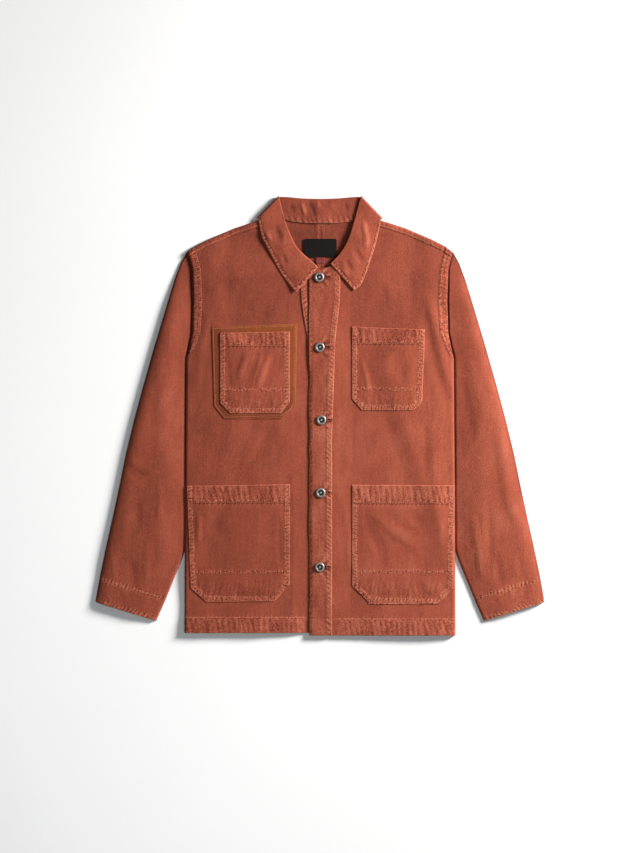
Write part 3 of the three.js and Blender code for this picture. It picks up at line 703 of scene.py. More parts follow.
def placket_top(x, up, side):
    """Upper surface of a placket, and its wear and painted shade: a doubled strip with a row at
    each edge.
    """
    base, _, _ = front_top(x, up, side)
    out = side * x
    from_inner = read(PLACKET_INNER[side], up) - out
    from_free = out + FREE_EDGE
    first, second = PLACKET_ROWS
    inner_row = bump(from_inner - first, 1.5)
    second_row = bump(from_inner - second, 1.3)
    free_row = bump(from_free - FREE_ROW, 1.5)
    full = TURNED * smooth(from_inner / 2) * (1 - smooth((from_inner - second) / 4))
    pressed = 0.5 * (1 - smooth(from_free / 9))
    rope = 1.3 * puckers(61 + side, 8, up + 0.7 * out, out) * bump(from_inner - 6, 8)
    rope = rope + 0.6 * puckers(67 + side, 9, up - 0.7 * out, out) * bump(from_free - 3, 5)
    uneven = 0.4 * clouds(71, 18, 46, x, up) + 0.5 * clouds(72, 9, 20, x, up)
    band = smooth((PLACKET_HEM - up) / 1.6)
    hem_row = bump(up - PLACKET_HEM, 1.6)
    pulled, pulled_wear_and_shade, pulled_speckle = button_pulls(x, up)

    rise = 0.7 * full - 0.3 * (inner_row + 0.6 * second_row + free_row + hem_row) - pressed
    rise = rise + 0.36 * rope + 0.5 * band + 0.7 * uneven + pulled
    patchy = 0.55 + 0.45 * clouds(73, 9, 14, x, up)
    wear_and_shade = rope + 0.2 * full - 0.5 * (inner_row + free_row + hem_row) - 0.3 * second_row
    # Painted shade over the shoulders and on the wearer's right side is taken off here.
    wear_and_shade = wear_and_shade + 0.5 * uneven + 0.1 * band + 0.12 - painted_falloff_shade(x, up) + pulled_wear_and_shade
    wear_and_shade = wear_and_shade + patchy * (0.8 * bump(from_inner - 0.5, 1.6) + 0.7 * bump(from_free - 1, 2))
    rows = np.maximum(bump(from_inner - first, 2.8), 0.8 * bump(from_inner - second, 2.4))
    seam = np.maximum(0.22, np.maximum(rows, bump(from_free - FREE_ROW, 2.8)))
    seam = np.maximum(seam, np.maximum(0.25 * band, pulled_speckle))
    return base + SEWN_GAP + PATCH + rise, wear_and_shade, seam


def button_pulls(x, up):
    """Rise, wear and speckle of the creases that each button draws, most beside its hole, with
    painted shade where the hole gapes beside the button.
    """
    rise, wear_and_shade, seam = (np.zeros(np.shape(x)) for _ in range(3))
    for place, level in button_places():
        across, above = x - place, up - level
        from_button = np.hypot(across, above)
        pull = ripples(81, 7, up, x) * bump(from_button, 22)
        rays = np.sin(8 * np.arctan2(above, across) + 1.4 * clouds(82, 9, 12, x, up))
        rays = rays * bump(from_button - 15, 10) * smooth((across - 1) / 6)
        rise = rise + 0.3 * pull + 0.25 * rays
        # The last term is painted shade where the buttonhole gapes beside the button.
        wear_and_shade = wear_and_shade + 0.8 * pull + 0.9 * rays - 1.2 * bump(np.hypot(0.8 * (across - 7), above), 12)
        seam = np.maximum(seam, 0.8 * bump(np.hypot(0.8 * (across - 12), above), 9))
    return rise, wear_and_shade, seam


def button_places():
    places = []
    for number in range(1, 6):
        x0, up0, _, x1, up1, _ = node_box(f"button_{number}")
        places.append(((x0 + x1) / 2, (up0 + up1) / 2))
    return places


HOLE_LENGTH = 19.0
PLACKET_TALL = 650.0
PLACKET_STRAIGHT = 600.0     # rows below this are level


def placket_grid(side):
    """Places of a placket's grid, whose upper end follows the neckline."""
    step = 1.7 if side == LEFT else 2.4
    wide = FREE_EDGE + 30
    share = (steps(wide, step) / wide)[None, :]
    levels = steps(PLACKET_TALL, 1.9)
    if side == LEFT:
        near = [up for _, up in button_places()]
        levels = refine(levels, near, (-3, -2, -1.2, -0.6, 0, 0.6, 1.2, 2, 3))
    level = levels[:, None] / levels[-1]
    hem_low = HEM_LOW[side]
    plain = hem_low + level * (PLACKET_TALL - hem_low)
    climb = (plain - PLACKET_STRAIGHT) / (PLACKET_TALL - PLACKET_STRAIGHT)
    up = hem_low + level * 640
    for _ in range(5):
        out = -FREE_EDGE + (read(PLACKET_INNER[side], up) + FREE_EDGE) * share
        sloped = PLACKET_STRAIGHT + climb * (read(NECKLINE, out) - PLACKET_STRAIGHT)
        up = np.where(climb > 0, sloped, plain)
    return out, up


def buttonhole_slits(x, up):
    """1 in each buttonhole's slit, which gapes at the button's shank."""
    slits = np.zeros(np.shape(x))
    for place, level in button_places():
        open_by = 1.6 + 2.2 * (1 - smooth((x - place - 8) / 8))
        slit = bump(up - level, open_by) * smooth((x - place + 2) / 1.5)
        slits = slits + slit * (1 - smooth((x - place - HOLE_LENGTH) / 1.2))
    return slits


def make_placket(side):
    out, up = placket_grid(side)
    x = side * out
    top, wear_and_shade, seam = placket_top(x, up, side)
    base, _, _ = front_top(x, up, side)
    from_free = out + FREE_EDGE
    from_inner = read(PLACKET_INNER[side], up) - out
    under = base + SEWN_GAP
    bottom = front_low(x, up, side) - 0.1
    low = under + (bottom - under) * (1 - smooth((from_free - 0.9) / 0.3))
    rim = dome(from_free / 1.6) * dome(from_inner / 1.1) * dome((up - HEM_LOW[side]) / 1.3)
    middle = np.where(from_free < 1.8, (top + bottom) / 2, (top + under) / 2)
    high = middle + (top - middle) * (0.08 + 0.92 * rim)
    low = np.minimum(low, high - 0.1)
    if side == LEFT:
        slits = buttonhole_slits(x, up)
        high = high - slits
        # Painted shade: each buttonhole's slit is painted dark.
        wear_and_shade = wear_and_shade - 6 * slits
        seam = seam * (1 - slits)
    waver = 0.9 * clouds(74, 9, 24, 0 * up, up) * (1 - smooth(from_free / 9))
    return make_shell(f"placket_{SIDES[side]}_visual", x + side * waver, up, low, high,
                      wear_and_shade, seam, CANVAS)


# ---------------------------------------------------------------------------- pockets

# Corners as shares of the pocket's box, from the upper inner corner round; `inner` is the
# side towards the placket. Then the height of its turned top's lower edge, and its folds.
POCKETS = {
    "chest_pocket_right": {
        "side": RIGHT, "lift": 2 * SEWN_GAP + PATCH, "turned": 522, "pull": 442,
        "corners": [(0, 1), (1, 0.986), (1, 0.128), (0.854, 0), (0.131, 0), (0, 0.138)],
        "folds": [
            ([(-128, 516), (-140, 484), (-150, 452)], 9, 11, 1.7),
            ([(-88, 516), (-102, 478), (-116, 438)], 9, 11, 1.8),
            ([(-110, 516), (-124, 470), (-136, 428)], 9, 9, -1.4),
            ([(-68, 510), (-76, 470)], 8, 8, -0.8),
            ([(-166, 500), (-162, 440)], 8, 8, -0.8),
        ],
    },
    "chest_pocket_left": {
        "side": LEFT, "lift": SEWN_GAP, "turned": 526, "pull": 444,
        "corners": [(0, 1), (1, 0.963), (0.958, 0.104), (0.834, 0), (0.138, 0), (0, 0.139)],
        "folds": [
            ([(74, 500), (84, 460), (90, 430)], 8, 8, 0.9),
            ([(128, 516), (120, 470)], 14, 14, 0.7),
            ([(150, 500), (146, 450)], 13, 13, -0.8),
        ],
    },
    "lower_pocket_right": {
        "side": RIGHT, "lift": SEWN_GAP, "turned": 240, "pull": 115,
        "corners": [(0, 1), (1, 0.985), (0.9625, 0.114), (0.819, 0.005), (0.152, 0),
                    (0.003, 0.145)],
        "folds": [
            ([(-218, 226), (-222, 160)], 10, 10, 1.2),
            ([(-200, 220), (-160, 150)], 20, 20, -0.7),
            ([(-110, 222), (-120, 150)], 24, 24, 0.7),
            ([(-72, 220), (-70, 120)], 9, 9, -0.9),
        ],
    },
    "lower_pocket_left": {
        "side": LEFT, "lift": SEWN_GAP, "turned": 238.5, "pull": 115,
        "corners": [(0, 1), (1, 0.995), (0.983, 0.132), (0.847, 0), (0.163, 0.014), (0, 0.151)],
        "folds": [
            ([(84, 232), (133, 186), (186, 148)], 14, 20, 1.2),
            ([(74, 226), (108, 157), (115, 98)], 16, 18, -0.9),
            ([(152, 231), (192, 192)], 15, 15, -0.7),
            ([(214, 226), (222, 150)], 14, 14, 0.7),
        ],
    },
}


def pocket_outline(name):
    x0, up0, _, x1, up1, _ = node_box(name)
    inner, outer = (x1, x0) if POCKETS[name]["side"] == RIGHT else (x0, x1)
    return [(inner + (outer - inner) * across, up0 + (up1 - up0) * level)
            for across, level in POCKETS[name]["corners"]]


def from_border(outline, x, up):
    """Distance inside an open outline of corners, and the distance along it."""
    nearest = np.full(np.shape(x), 1e9)
    place = np.zeros(np.shape(x))
    done = 0.0
    for (ax, aup), (bx, bup) in zip(outline, outline[1:]):
        length = math.hypot(bx - ax, bup - aup)
        distance = np.abs((x - ax) * (bup - aup) - (up - aup) * (bx - ax)) / length
        along = ((x - ax) * (bx - ax) + (up - aup) * (bup - aup)) / length
        closer = distance < nearest
        nearest = np.where(closer, distance, nearest)
        place = np.where(closer, done + along, place)
        done += length
    return nearest, place


def below_top(outline, x, up):
    """Distance below a patch's top edge, which joins its first two corners."""
    (ix, iup), (ox, oup) = outline[0], outline[1]
    return iup + (oup - iup) * (x - ix) / (ox - ix) - up


def turned_top(seed, turned, below, x, up):
    """Rise, wear and speckle of a pocket's turned top, and of what its row pulls."""
    above = up - turned
    under = above < 0
    band = 1 - smooth(-above * under / 1.8)
    rope = 0.6 * puckers(seed, 10, x + 0.15 * up, up) + 0.5 * ripples(seed + 1, 9, x, up)
    rope = rope * smooth((above + 1) / 3) * smooth(below / 2)
    row = bump(above, 1.6)
    pulled = puckers(seed + 2, 8, x - 0.3 * up, up) * bump(above + 3, 6) * under
    rise = 0.7 * TURNED * band - 0.25 * row + 0.38 * rope + 0.22 * pulled
    wear_and_shade = 0.82 * rope + 0.7 * pulled + 0.1 * band - 0.6 * row
    wear_and_shade = wear_and_shade - 0.3 * bump(above - 6, 1.4) - 0.5 * bump(above + 2.4, 1.8)
    return rise, wear_and_shade, np.maximum(0.4 * band, bump(above - 3, 5))


def sewn_border(seed, edge, along):
    """The same of a pocket's border, which two rows sew to the front."""
    first, second = POCKET_ROWS
    border = smooth(edge / 1.5) * (1 - smooth((edge - 8.5) / 3))
    rows = bump(edge - first, 1.3) + bump(edge - second, 1.3)
    rope = puckers(seed + 4, 6.6, along + 0.4 * edge, edge) * bump(edge - 5.4, 5)
    rise = 0.4 * TURNED * border - 0.25 * rows + 0.4 * rope
    wear_and_shade = 1.45 * rope + 0.2 * border - 0.4 * rows
    return rise, wear_and_shade, 1.25 * np.maximum(bump(edge - first, 3), bump(edge - second, 3.4))


def pocket_foot(seed, low_edge, pull, edge, x, up):
    """The same of a pocket's foot, up to the crease at the height `pull`."""
    above, tall = up - low_edge, pull - low_edge
    rope = 0.5 * puckers(seed + 6, 9, x - 0.2 * up, up) + 0.5 * ripples(seed + 7, 9, x, up)
    rope = rope * smooth(above / 3) * (1 - smooth((above - 0.45 * tall) / 26))
    crease = bump(up - pull - 2.5 * clouds(seed + 8, 24, 30, x, 0 * up), 4) * smooth(edge / 6)
    dashes = puckers(seed + 9, 5.5, x, up)
    rise = 0.26 * rope + 0.3 * crease * (1 + 0.6 * dashes)
    wear_and_shade = 0.45 * rope + crease * (0.1 + dashes)
    faded = 0.2 * (1 - smooth((above - 0.5 * tall) / 22))
    return rise, wear_and_shade, np.maximum(1.1 * bump(up - pull, 5), faded)


def pocket_top(name, x, up):
    """Upper surface of a patch pocket, its wear and painted shade, and the speckle of its seams."""
    pocket = POCKETS[name]
    outline = pocket_outline(name)
    seed = 100 + 10 * list(POCKETS).index(name)
    base, _, _ = front_top(x, up, pocket["side"])
    edge, along = from_border(outline[1:] + outline[:1], x, up)
    below = below_top(outline, x, up)
    low_edge = min(level for _, level in outline)
    band = turned_top(seed, pocket["turned"], below, x, up)
    border = sewn_border(seed, edge, along)
    foot = pocket_foot(seed, low_edge, pocket["pull"], edge, x, up)

    free = smooth((edge - 8) / 14) * smooth((pocket["turned"] - up) / 12)
    loose = fold_rise(pocket["folds"], x, up) + 0.35 * clouds(seed + 3, 30, 40, x, up)
    rise = band[0] + border[0] + foot[0] + free * (0.5 + loose)
    patchy = 0.6 + 0.4 * clouds(seed + 5, 8, 10, x, up)
    wear_and_shade = band[1] + border[1] + foot[1] + 0.2 * free * np.clip(loose, -1, 1)
    wear_and_shade = wear_and_shade + patchy * (0.9 * bump(edge - 0.4, 1.5) + 0.9 * bump(below - 0.6, 1.8))
    seam = np.maximum(border[2], np.maximum(band[2], foot[2]))
    # Painted shade over the shoulders and on the wearer's right side is taken off the pocket's
    # tone.
    return base + pocket["lift"] + PATCH + np.maximum(rise, -0.4), wear_and_shade - painted_falloff_shade(x, up), seam


def patch_grid(outline, columns, rows):
    """A grid over an outline that narrows at its lower corners."""
    inner = [outline[0], outline[-1], outline[-2]]
    outer = [outline[1], outline[2], outline[3]]
    low = min(level for _, level in outline)
    level = rows[:, None]
    share = columns[None, :]

    def edge_x(corners):
        ups = [(place[1] - low) / (corners[0][1] - low) for place in corners]
        order = np.argsort(ups)
        return np.interp(level, np.array(ups)[order], np.array([p[0] for p in corners])[order])
    x = edge_x(inner) + (edge_x(outer) - edge_x(inner)) * share
    return x, low + below_top(outline, x, low) * level


def make_pocket(name):
    pocket = POCKETS[name]
    outline = pocket_outline(name)
    wide = abs(outline[1][0] - outline[0][0])
    tall = outline[0][1] - min(level for _, level in outline)
    step = 1.75
    x, up = patch_grid(outline, steps(wide, step) / wide, steps(tall, step) / tall)
    top, wear_and_shade, seam = pocket_top(name, x, up)
    base, _, _ = front_top(x, up, pocket["side"])
    base = base + pocket["lift"]
    edge, _ = from_border(outline[1:] + outline[:1], x, up)
    rim = dome(edge / 1.3) * (0.35 + 0.65 * dome(below_top(outline, x, up) / 1.2))
    high = base + 0.15 + (top - base - 0.15) * rim
    return make_shell(f"{name}_visual", x, up, base, high, wear_and_shade, seam, CANVAS)


BACKING_CORNERS = [
    (0, 1), (1, 0.968), (0.975, 0.135), (0.857, 0), (0.178, 0.017), (0.062, 0.094),
    (0.023, 0.167),
]


def backing_outline():
    x0, up0, _, x1, up1, _ = node_box("pocket_backing")
    return [(x1 + (x0 - x1) * across, up0 + (up1 - up0) * level)
            for across, level in BACKING_CORNERS]


def backing_top(x, up):
    """Upper surface of the tan backing, its wear and the speckle of its rows."""
    outline = backing_outline()
    base, _, _ = front_top(x, up, RIGHT)
    edge, along = from_border(outline + outline[:1], x, up)
    first, second = BACKING_ROWS
    rope = puckers(201, 6.5, along, edge) * bump(edge - first, 5)
    row = bump(edge - first, 1.4)
    second_row = bump(edge - second, 1.4)
    x0, up0, _, _, _, _ = node_box("pocket_backing")
    faded = smooth((x - x0 - 16) / 60) * smooth((up - up0 - 16) / 60)
    wear_and_shade = 0.4 * rope - 0.5 * row - 0.4 * second_row + 0.6 * bump(edge - 0.5, 1.6)
    rise = 0.16 * rope - 0.25 * row
    return base + SEWN_GAP + PATCH + rise, wear_and_shade - (1 - faded), 0.8 * bump(edge - first, 3)


def make_backing():
    outline = backing_outline()
    fan = [outline[i] for i in (0, 1, 2, 3, 4, 6)]
    wide = abs(outline[1][0] - outline[0][0])
    tall = outline[0][1] - min(level for _, level in outline)
    step = 2.4
    x, up = patch_grid(fan, steps(wide, step) / wide, steps(tall, step) / tall)
    top, wear_and_shade, seam = backing_top(x, up)
    base, _, _ = front_top(x, up, RIGHT)
    base = base + SEWN_GAP
    edge, _ = from_border(fan + fan[:1], x, up)
    high = base + 0.15 + (top - base - 0.15) * dome(edge / 1.1)
    return make_shell("pocket_backing_visual", x, up, base, high, wear_and_shade, seam, TAN_CANVAS)


# ---------------------------------------------------------------------------- sleeves

# (up, out): outer edge of a sleeve; the last row is the cuff's outer corner.
SLEEVE_OUT = [
    (60.3, 405), (102, 397.5), (125, 393), (163, 385), (214, 373.5), (268, 362), (325, 350.5),
    (385, 336), (445, 320), (505, 303), (521, 298.5), (560, 286.8), (600, 274.8), (640, 262.5),
    (670, 251.5), (690, 240.5),
]
# (inner out, inner up, outer out, outer up): rows across a sleeve, shoulder to cuff.
SLEEVE_ROWS = [
    (221.2, 688, 240.5, 690), (221.2, 672, 251.5, 670), (221.2, 640, 262.5, 640),
    (221.2, 600, 274.8, 600), (221.2, 560, 286.8, 560), (221.2, 518, 298.5, 521),
    (128, 486, 303, 505), (149, 425, 320, 445), (171, 362, 336, 385), (193, 300, 350.5, 325),
    (212, 245, 362, 268), (231, 190, 373.5, 214), (249, 136, 385, 163), (265, 97, 393, 125),
    (281, 58, 398, 100), (295.2, 26, 405, 60.3),
]
CUFF = 43.0              # stitch line of the sleeve hem, above the cuff's edge

SLEEVE_FOLDS = {
    LEFT: [
        ([(322, 372), (330, 300), (340, 238), (362, 186)], 15, 18, 3.0),
        ([(338, 372), (352, 300), (366, 240)], 11, 11, -2.2),
        ([(318, 156), (324, 82)], 11, 13, -3.0),
        ([(272, 226), (283, 160), (292, 96)], 11, 12, 2.2),
        ([(300, 250), (306, 170), (308, 100)], 11, 11, -1.6),
        ([(346, 150), (356, 92)], 14, 12, 1.8),
        ([(262, 520), (282, 440), (300, 380)], 16, 18, 1.5),
        ([(252, 470), (268, 400), (276, 340)], 13, 13, -1.6),
        ([(372, 200), (380, 130)], 9, 9, -1.2),
        ([(340, 88), (350, 60)], 8, 8, 1.0),
        ([(372, 96), (366, 62)], 8, 8, -0.9),
        ([(312, 72), (322, 48)], 8, 8, -0.9),
    ],
    RIGHT: [
        ([(-354, 298), (-330, 290), (-302, 287)], 11, 14, -2.6),
        ([(-350, 316), (-318, 306)], 10, 12, 1.6),
        ([(-340, 270), (-312, 268)], 10, 10, 1.2),
        ([(-328, 250), (-329, 186)], 10, 12, -2.2),
        ([(-290, 284), (-287, 236), (-290, 190)], 10, 12, 1.8),
        ([(-308, 176), (-314, 92)], 12, 12, 1.8),
        ([(-346, 236), (-352, 150)], 12, 12, 1.4),
        ([(-262, 560), (-268, 470), (-284, 380)], 16, 14, 1.2),
        ([(-292, 470), (-306, 380)], 14, 14, -1.5),
        ([(-340, 140), (-332, 70)], 11, 11, -2.2),
        ([(-372, 150), (-366, 84)], 10, 10, 1.3),
        ([(-300, 90), (-308, 52)], 8, 8, -1.2),
        ([(-356, 92), (-346, 58)], 8, 8, 1.0),
    ],
}


def cuff_edge():
    """The inner corner of the cuff's edge, the edge's direction, and its length."""
    inner, outer = np.array(SLEEVE_ROWS[-1][:2]), np.array(SLEEVE_ROWS[-1][2:])
    length = np.hypot(*(outer - inner))
    return inner, (outer - inner) / length, length


def cuff_place(out, up):
    """Distance above the cuff's edge, and along it from its inner corner."""
    corner, way, _ = cuff_edge()
    aside, above = out - corner[0], up - corner[1]
    return way[0] * above - way[1] * aside, way[0] * aside + way[1] * above


def cuff_seams(cuff, along, side):
    """Rise, wear and speckle of a sleeve's hem, with a row at its top and one at the edge."""
    in_cuff = smooth((CUFF - cuff + 0.8) / 1.6)
    row = bump(cuff - CUFF, 1.5)
    edge_row = bump(cuff - CUFF_EDGE_ROW, 1.4)
    rope = puckers(311 + side, 6.5, along, cuff) * bump(cuff - CUFF, 7)
    edge_rope = puckers(315 + side, 7, along + 0.5 * cuff, cuff) * (1 - smooth((cuff - 4) / 8))
    rise = 0.6 * TURNED * in_cuff - 0.3 * (row + edge_row) + 0.3 * rope + 0.35 * edge_rope
    wear_and_shade = 1.7 * rope + 1.6 * edge_rope - 0.6 * row - 0.9 * edge_row + 0.5 * bump(cuff - 0.6, 1.8)
    seam = 1.1 * np.maximum(bump(cuff - CUFF, 5), bump(cuff - 4, 5))
    return rise, wear_and_shade, np.maximum(seam, 0.12 * in_cuff)


def sleeve_top(x, up, side):
    """Upper surface of a sleeve, its wear and painted shade, and the speckle of its seams."""
    out = np.abs(x)
    from_body = out - side_edge(up) - 3
    from_outer = (read(SLEEVE_OUT, up) - out) * 0.97
    from_inner = (out - read(TUCKED_EDGE, up)) * 0.95
    near = np.minimum(from_body, np.where(up < 150, from_inner, 99))
    rise_in = 0.3 * smooth((near + 2.6) / 3.2) + 0.7 * smooth(near / 50) ** 0.8
    rise_in = rise_in * (1 - 0.25 * smooth((150 - up) / 60))
    body = (1.4 + 7.6 * smooth((700 - up) / 110)) * rise_in
    loose = 0.45 * fold_rise(SLEEVE_FOLDS[side], x, up) + 0.6 * clouds(301 + side, 42, 90, x, up)
    loose = loose + 0.15 * clouds(303 + side, 20, 40, x, up)
    open_in = smooth(near / 16) * smooth(from_outer / 16)
    room = GAP + np.maximum(0, body * dome(from_outer / 24) + loose * open_in)

    cuff, along = cuff_place(out, up)
    rise, wear_and_shade, seam = cuff_seams(cuff, along, side)
    # Painted shade: a dark crevice where the sleeve meets the body, and a darker band along the
    # outer edge's roll, which the key light lights.
    wear_and_shade = wear_and_shade - 1.3 * bump(from_body + 1.8, 3.6) * smooth((up - 250) / 60)
    wear_and_shade = wear_and_shade - 0.7 * bump(from_outer - 1, 5) * (cuff > 6)
    wear_and_shade = wear_and_shade + 0.5 * bump(from_inner - 1, 3) * (up < 140)
    # Painted shade over the shoulders and on the wearer's right side, at six tenths.
    wear_and_shade = wear_and_shade + 0.14 * np.clip(loose, -2, 2) - 0.6 * painted_falloff_shade(x, up)
    return CLOTH + room + CLOTH + rise, wear_and_shade, seam


def along_sleeve(rows):
    """Distance of each row from the shoulder, down the sleeve's outer edge."""
    lengths = np.hypot(np.diff(rows[:, 2]), np.diff(rows[:, 3]))
    return np.concatenate([[0], np.cumsum(lengths)])


def sleeve_grid(rows, levels, share, margin=0.0):
    """Places of a sleeve's grid, and how far each is from the inner and the outer edge."""
    run = along_sleeve(rows)
    row = [np.interp(levels, run, rows[:, i])[:, None] for i in range(4)]
    width = row[2] - row[0]
    share = margin / width + (1 - 2 * margin / width) * share[None, :]
    out = row[0] + width * share
    up = row[1] + (row[3] - row[1]) * share
    return out, up, share * width, (1 - share) * width


def make_sleeve_top(side):
    rows = np.array(SLEEVE_ROWS, float)
    run = along_sleeve(rows)
    levels = run[-1] - steps(run[-1], 3.4)[::-1]
    armpit, free_from = run[5], run[6]      # the inner edge is covered down to the second
    levels = refine(levels, [armpit], np.arange(-1, free_from - armpit + 2, 0.5))
    share = steps(170, 2.6, (0, 0.2, 0.6, 1.2, 2, 3, 4.2, 5.6)) / 170
    out, up, inner, outer = sleeve_grid(rows, levels, share)
    x = side * out
    top, wear_and_shade, seam = sleeve_top(x, up, side)
    has_fold = levels[:, None] > free_from - 8
    fold = np.where(has_fold, dome(inner / 5), 1)
    inner_fold = np.where(has_fold, dome((inner - 1.2) / 5), 1)
    high = 0.1 + (top - 0.1) * dome(outer / 3) * fold
    nearest = np.minimum(outer, np.where(fold < 1, inner, 99))
    under = np.where(nearest < 1.0, 0.0, CLOTH + 0.05)
    low = under + (top - CLOTH - under) * dome((outer - 1.2) / 3) * inner_fold
    cuff, _ = cuff_place(out, up)
    rim = 0.12 + 0.88 * dome(cuff / 1.4)
    middle = (high + low) / 2
    high = middle + (high - middle) * rim
    low = np.minimum(middle - (middle - low) * rim, high - 0.06)
    return make_shell(f"sleeve_{SIDES[side]}_top_visual", x, up, np.maximum(low, 0), high,
                      wear_and_shade, seam, CANVAS)


UNDER_INNER = (212, 212, 212, 212, 212, 206)     # inner edge of the under's upper rows
UNDER_INSET = 5.5


def make_sleeve_under(side):
    rows = np.array(SLEEVE_ROWS, float)
    rows[:len(UNDER_INNER), 0] = UNDER_INNER
    levels = steps(along_sleeve(rows)[-1], 9)
    out, up, inner, outer = sleeve_grid(rows, levels, steps(150, 9) / 150, UNDER_INSET)
    edge = np.minimum(inner, outer) - UNDER_INSET
    cuff, _ = cuff_place(out, up)
    rim = 0.2 + 0.8 * dome(edge / 1.2) * dome(cuff / 1.2)
    low = CLOTH / 2 * (1 - rim)
    wear_and_shade = 0.2 * clouds(321, 40, 60, out, up)
    return make_shell(f"sleeve_{SIDES[side]}_under_visual", side * out, up, low, CLOTH - low,
                      wear_and_shade, 0, CANVAS)


# ----------------------------------------------------------------------------- collar

# (neck, roll, height of the leaf's middle at the roll, free edge), each (out, up, z); from the
# side fold to the end of the leaf.
LEAVES = {
    RIGHT: [
        ((75.5, 759, 7.4), (74.2, 787.4, 7.4), 10.4, (111.5, 749.8, 7.4)),
        ((75, 745, 7.4), (68.5, 762, 7.4), 10.4, (109, 735, 7.4)),
        ((73, 728, 6.7), (62, 739, 7.2), 10.3, (104.5, 717, 6.4)),
        ((69, 712, 6.4), (54, 719, 7), 10.2, (97, 702, 5.8)),
        ((60, 692, 6), (44, 699, 6.8), 10.1, (83, 675, 5.8)),
        ((46, 677, 6.6), (32, 686, 7), 10.2, (68, 649.5, 6.4)),
        ((28, 668.8, 7.1), (18, 673.5, 7.2), 10.5, (52.7, 628.6, 8)),
        ((9, 662, 7.1), (4.5, 661.2, 7.2), 10.6, (42.3, 617.4, 9.8)),
    ],
    LEFT: [
        ((75.5, 759, 7.4), (74.2, 787.4, 7.4), 10.4, (110, 749.8, 7.4)),
        ((75, 745, 7.4), (67, 762, 7.4), 10.4, (108, 738, 7.4)),
        ((73, 728, 6.7), (60.5, 740, 7.2), 10.3, (104.5, 722, 6.6)),
        ((70, 712, 6.4), (54.5, 719, 7), 10.2, (99.5, 702, 5.8)),
        ((64, 694, 6), (46.5, 700, 7), 10.1, (91.5, 677, 5.8)),
        ((54, 681.5, 6.8), (38, 687, 7.2), 10.2, (83, 652, 6.2)),
        ((41, 675, 7.4), (29, 676.5, 7.4), 10.4, (73.5, 631.5, 7)),
        ((24, 668.5, 7.6), (19.6, 668, 7.6), 10.7, (61.4, 620.6, 7.9)),
    ],
}
# (neck, roll, fall's middle height, free edge), from the centre of the back to the side fold.
BACK_COLLAR = [
    ((0, 742, 6.5), (0, 784, 4.6), 1, (0, 735, 1)),
    ((14, 742.2, 6.5), (16, 784.2, 4.6), 1, (18, 735, 1)),
    ((30, 742.5, 5.2), (34, 785, 4.5), 1, (40, 735.5, 1)),
    ((56, 746, 5.0), (56, 787, 4.5), 1, (76, 737, 1)),
    ((69, 753, 5.0), (67, 787.6, 4.5), 1, (100, 742, 1)),
    ((75.5, 759, 5.0), (74.2, 787.4, 4.6), 1, (111, 749.8, 1)),
]
LEAF_FOLDS = [
    ([(-84, 742), (-74, 722), (-70, 700)], 10, 9, -0.8),
    ([(-98, 730), (-86, 706)], 7, 7, 0.8),
    ([(-68, 690), (-60, 664)], 7, 7, -0.7),
    ([(76, 752), (84, 716), (82, 690)], 8, 8, 0.9),
    ([(58, 704), (70, 682), (82, 668)], 10, 9, -0.7),
    ([(44, 678), (62, 650)], 9, 9, -0.8),
    ([(34, 664), (56, 640)], 8, 8, 0.7),
]


STAND_FOLDS = [
    ([(-36, 784), (-30, 768), (-24, 752)], 4, 6, 1.1),
    ([(-22, 782), (-12, 766), (-8, 750)], 5, 5, -0.9),
    ([(-8, 784), (2, 768)], 5, 5, 0.8),
    ([(-54, 780), (-44, 760)], 6, 6, -0.8),
    ([(20, 782), (26, 764)], 7, 7, 0.5),
    ([(50, 782), (46, 762)], 6, 6, -0.6),
]


STAND_STEPS, ROLL_STEPS, LEAF_STEPS = 9, 8, 40
LEAF_ROWS, BACK_ROWS, FOLD_ROWS = 140, 84, 10
FOLD_REACH = 2.2         # how far the side folds bulge


def stations_of(table, side):
    """Four rails of a station table: neck, roll of the stand, roll of the leaf, edge."""
    rails = [[], [], [], []]
    for neck, roll, leaf, edge in table:
        pressed = leaf - LEAF_PRESSED if leaf > 5 else leaf
        for rail, point in zip(rails, (neck, roll, (roll[0], roll[1], pressed), edge)):
            rail.append((side * point[0], point[1], point[2]))
    return [np.array(rail, float) for rail in rails]


def eased(points, count):
    """Points spaced evenly along a smooth curve through `points`."""
    run = np.concatenate([[0], np.cumsum(np.linalg.norm(np.diff(points, axis=0), axis=1))])
    padded = np.concatenate([[2 * points[0] - points[1]], points, [2 * points[-1] - points[-2]]])
    spot = np.linspace(0, run[-1], count)
    index = np.clip(np.searchsorted(run, spot, side="right") - 1, 0, len(points) - 2)
    t = ((spot - run[index]) / (run[index + 1] - run[index]))[:, None]
    a, b, c, d = (padded[index + i] for i in range(4))
    return 0.5 * (2 * b + (c - a) * t + (2 * a - 5 * b + 4 * c - d) * t**2
                  + (3 * b - a - 3 * c + d) * t**3)


def side_fold(front, back):
    """Rails that turn from the front leaf down round the side fold to the fall behind."""
    outward = FOLD_REACH * np.array([math.sqrt(0.5) * np.sign(front[3][0]), math.sqrt(0.5), 0])
    return [[a + (b - a) * (1 - math.cos(turn)) / 2 + outward * math.sin(turn)
             for a, b in zip(front, back)]
            for turn in np.linspace(0, math.pi, FOLD_ROWS + 1)[1:-1]]


def front_stack(x, up):
    """Highest cloth of the fronts under the collar."""
    right, left = (front_top(x, up, side)[0] for side in (RIGHT, LEFT))
    right_placket, left_placket = (placket_top(x, up, side)[0] for side in (RIGHT, LEFT))
    top = np.where(x > -FREE_EDGE, left, right)
    on_left = (x > -FREE_EDGE) & (x < read(PLACKET_INNER[LEFT], up))
    on_right = (x <= -FREE_EDGE) & (x > -read(PLACKET_INNER[RIGHT], up))
    top = np.where(on_left, left_placket, np.where(on_right, right_placket, top))
    return np.where(up < front_limit(np.abs(x)) + 4, top, 0)


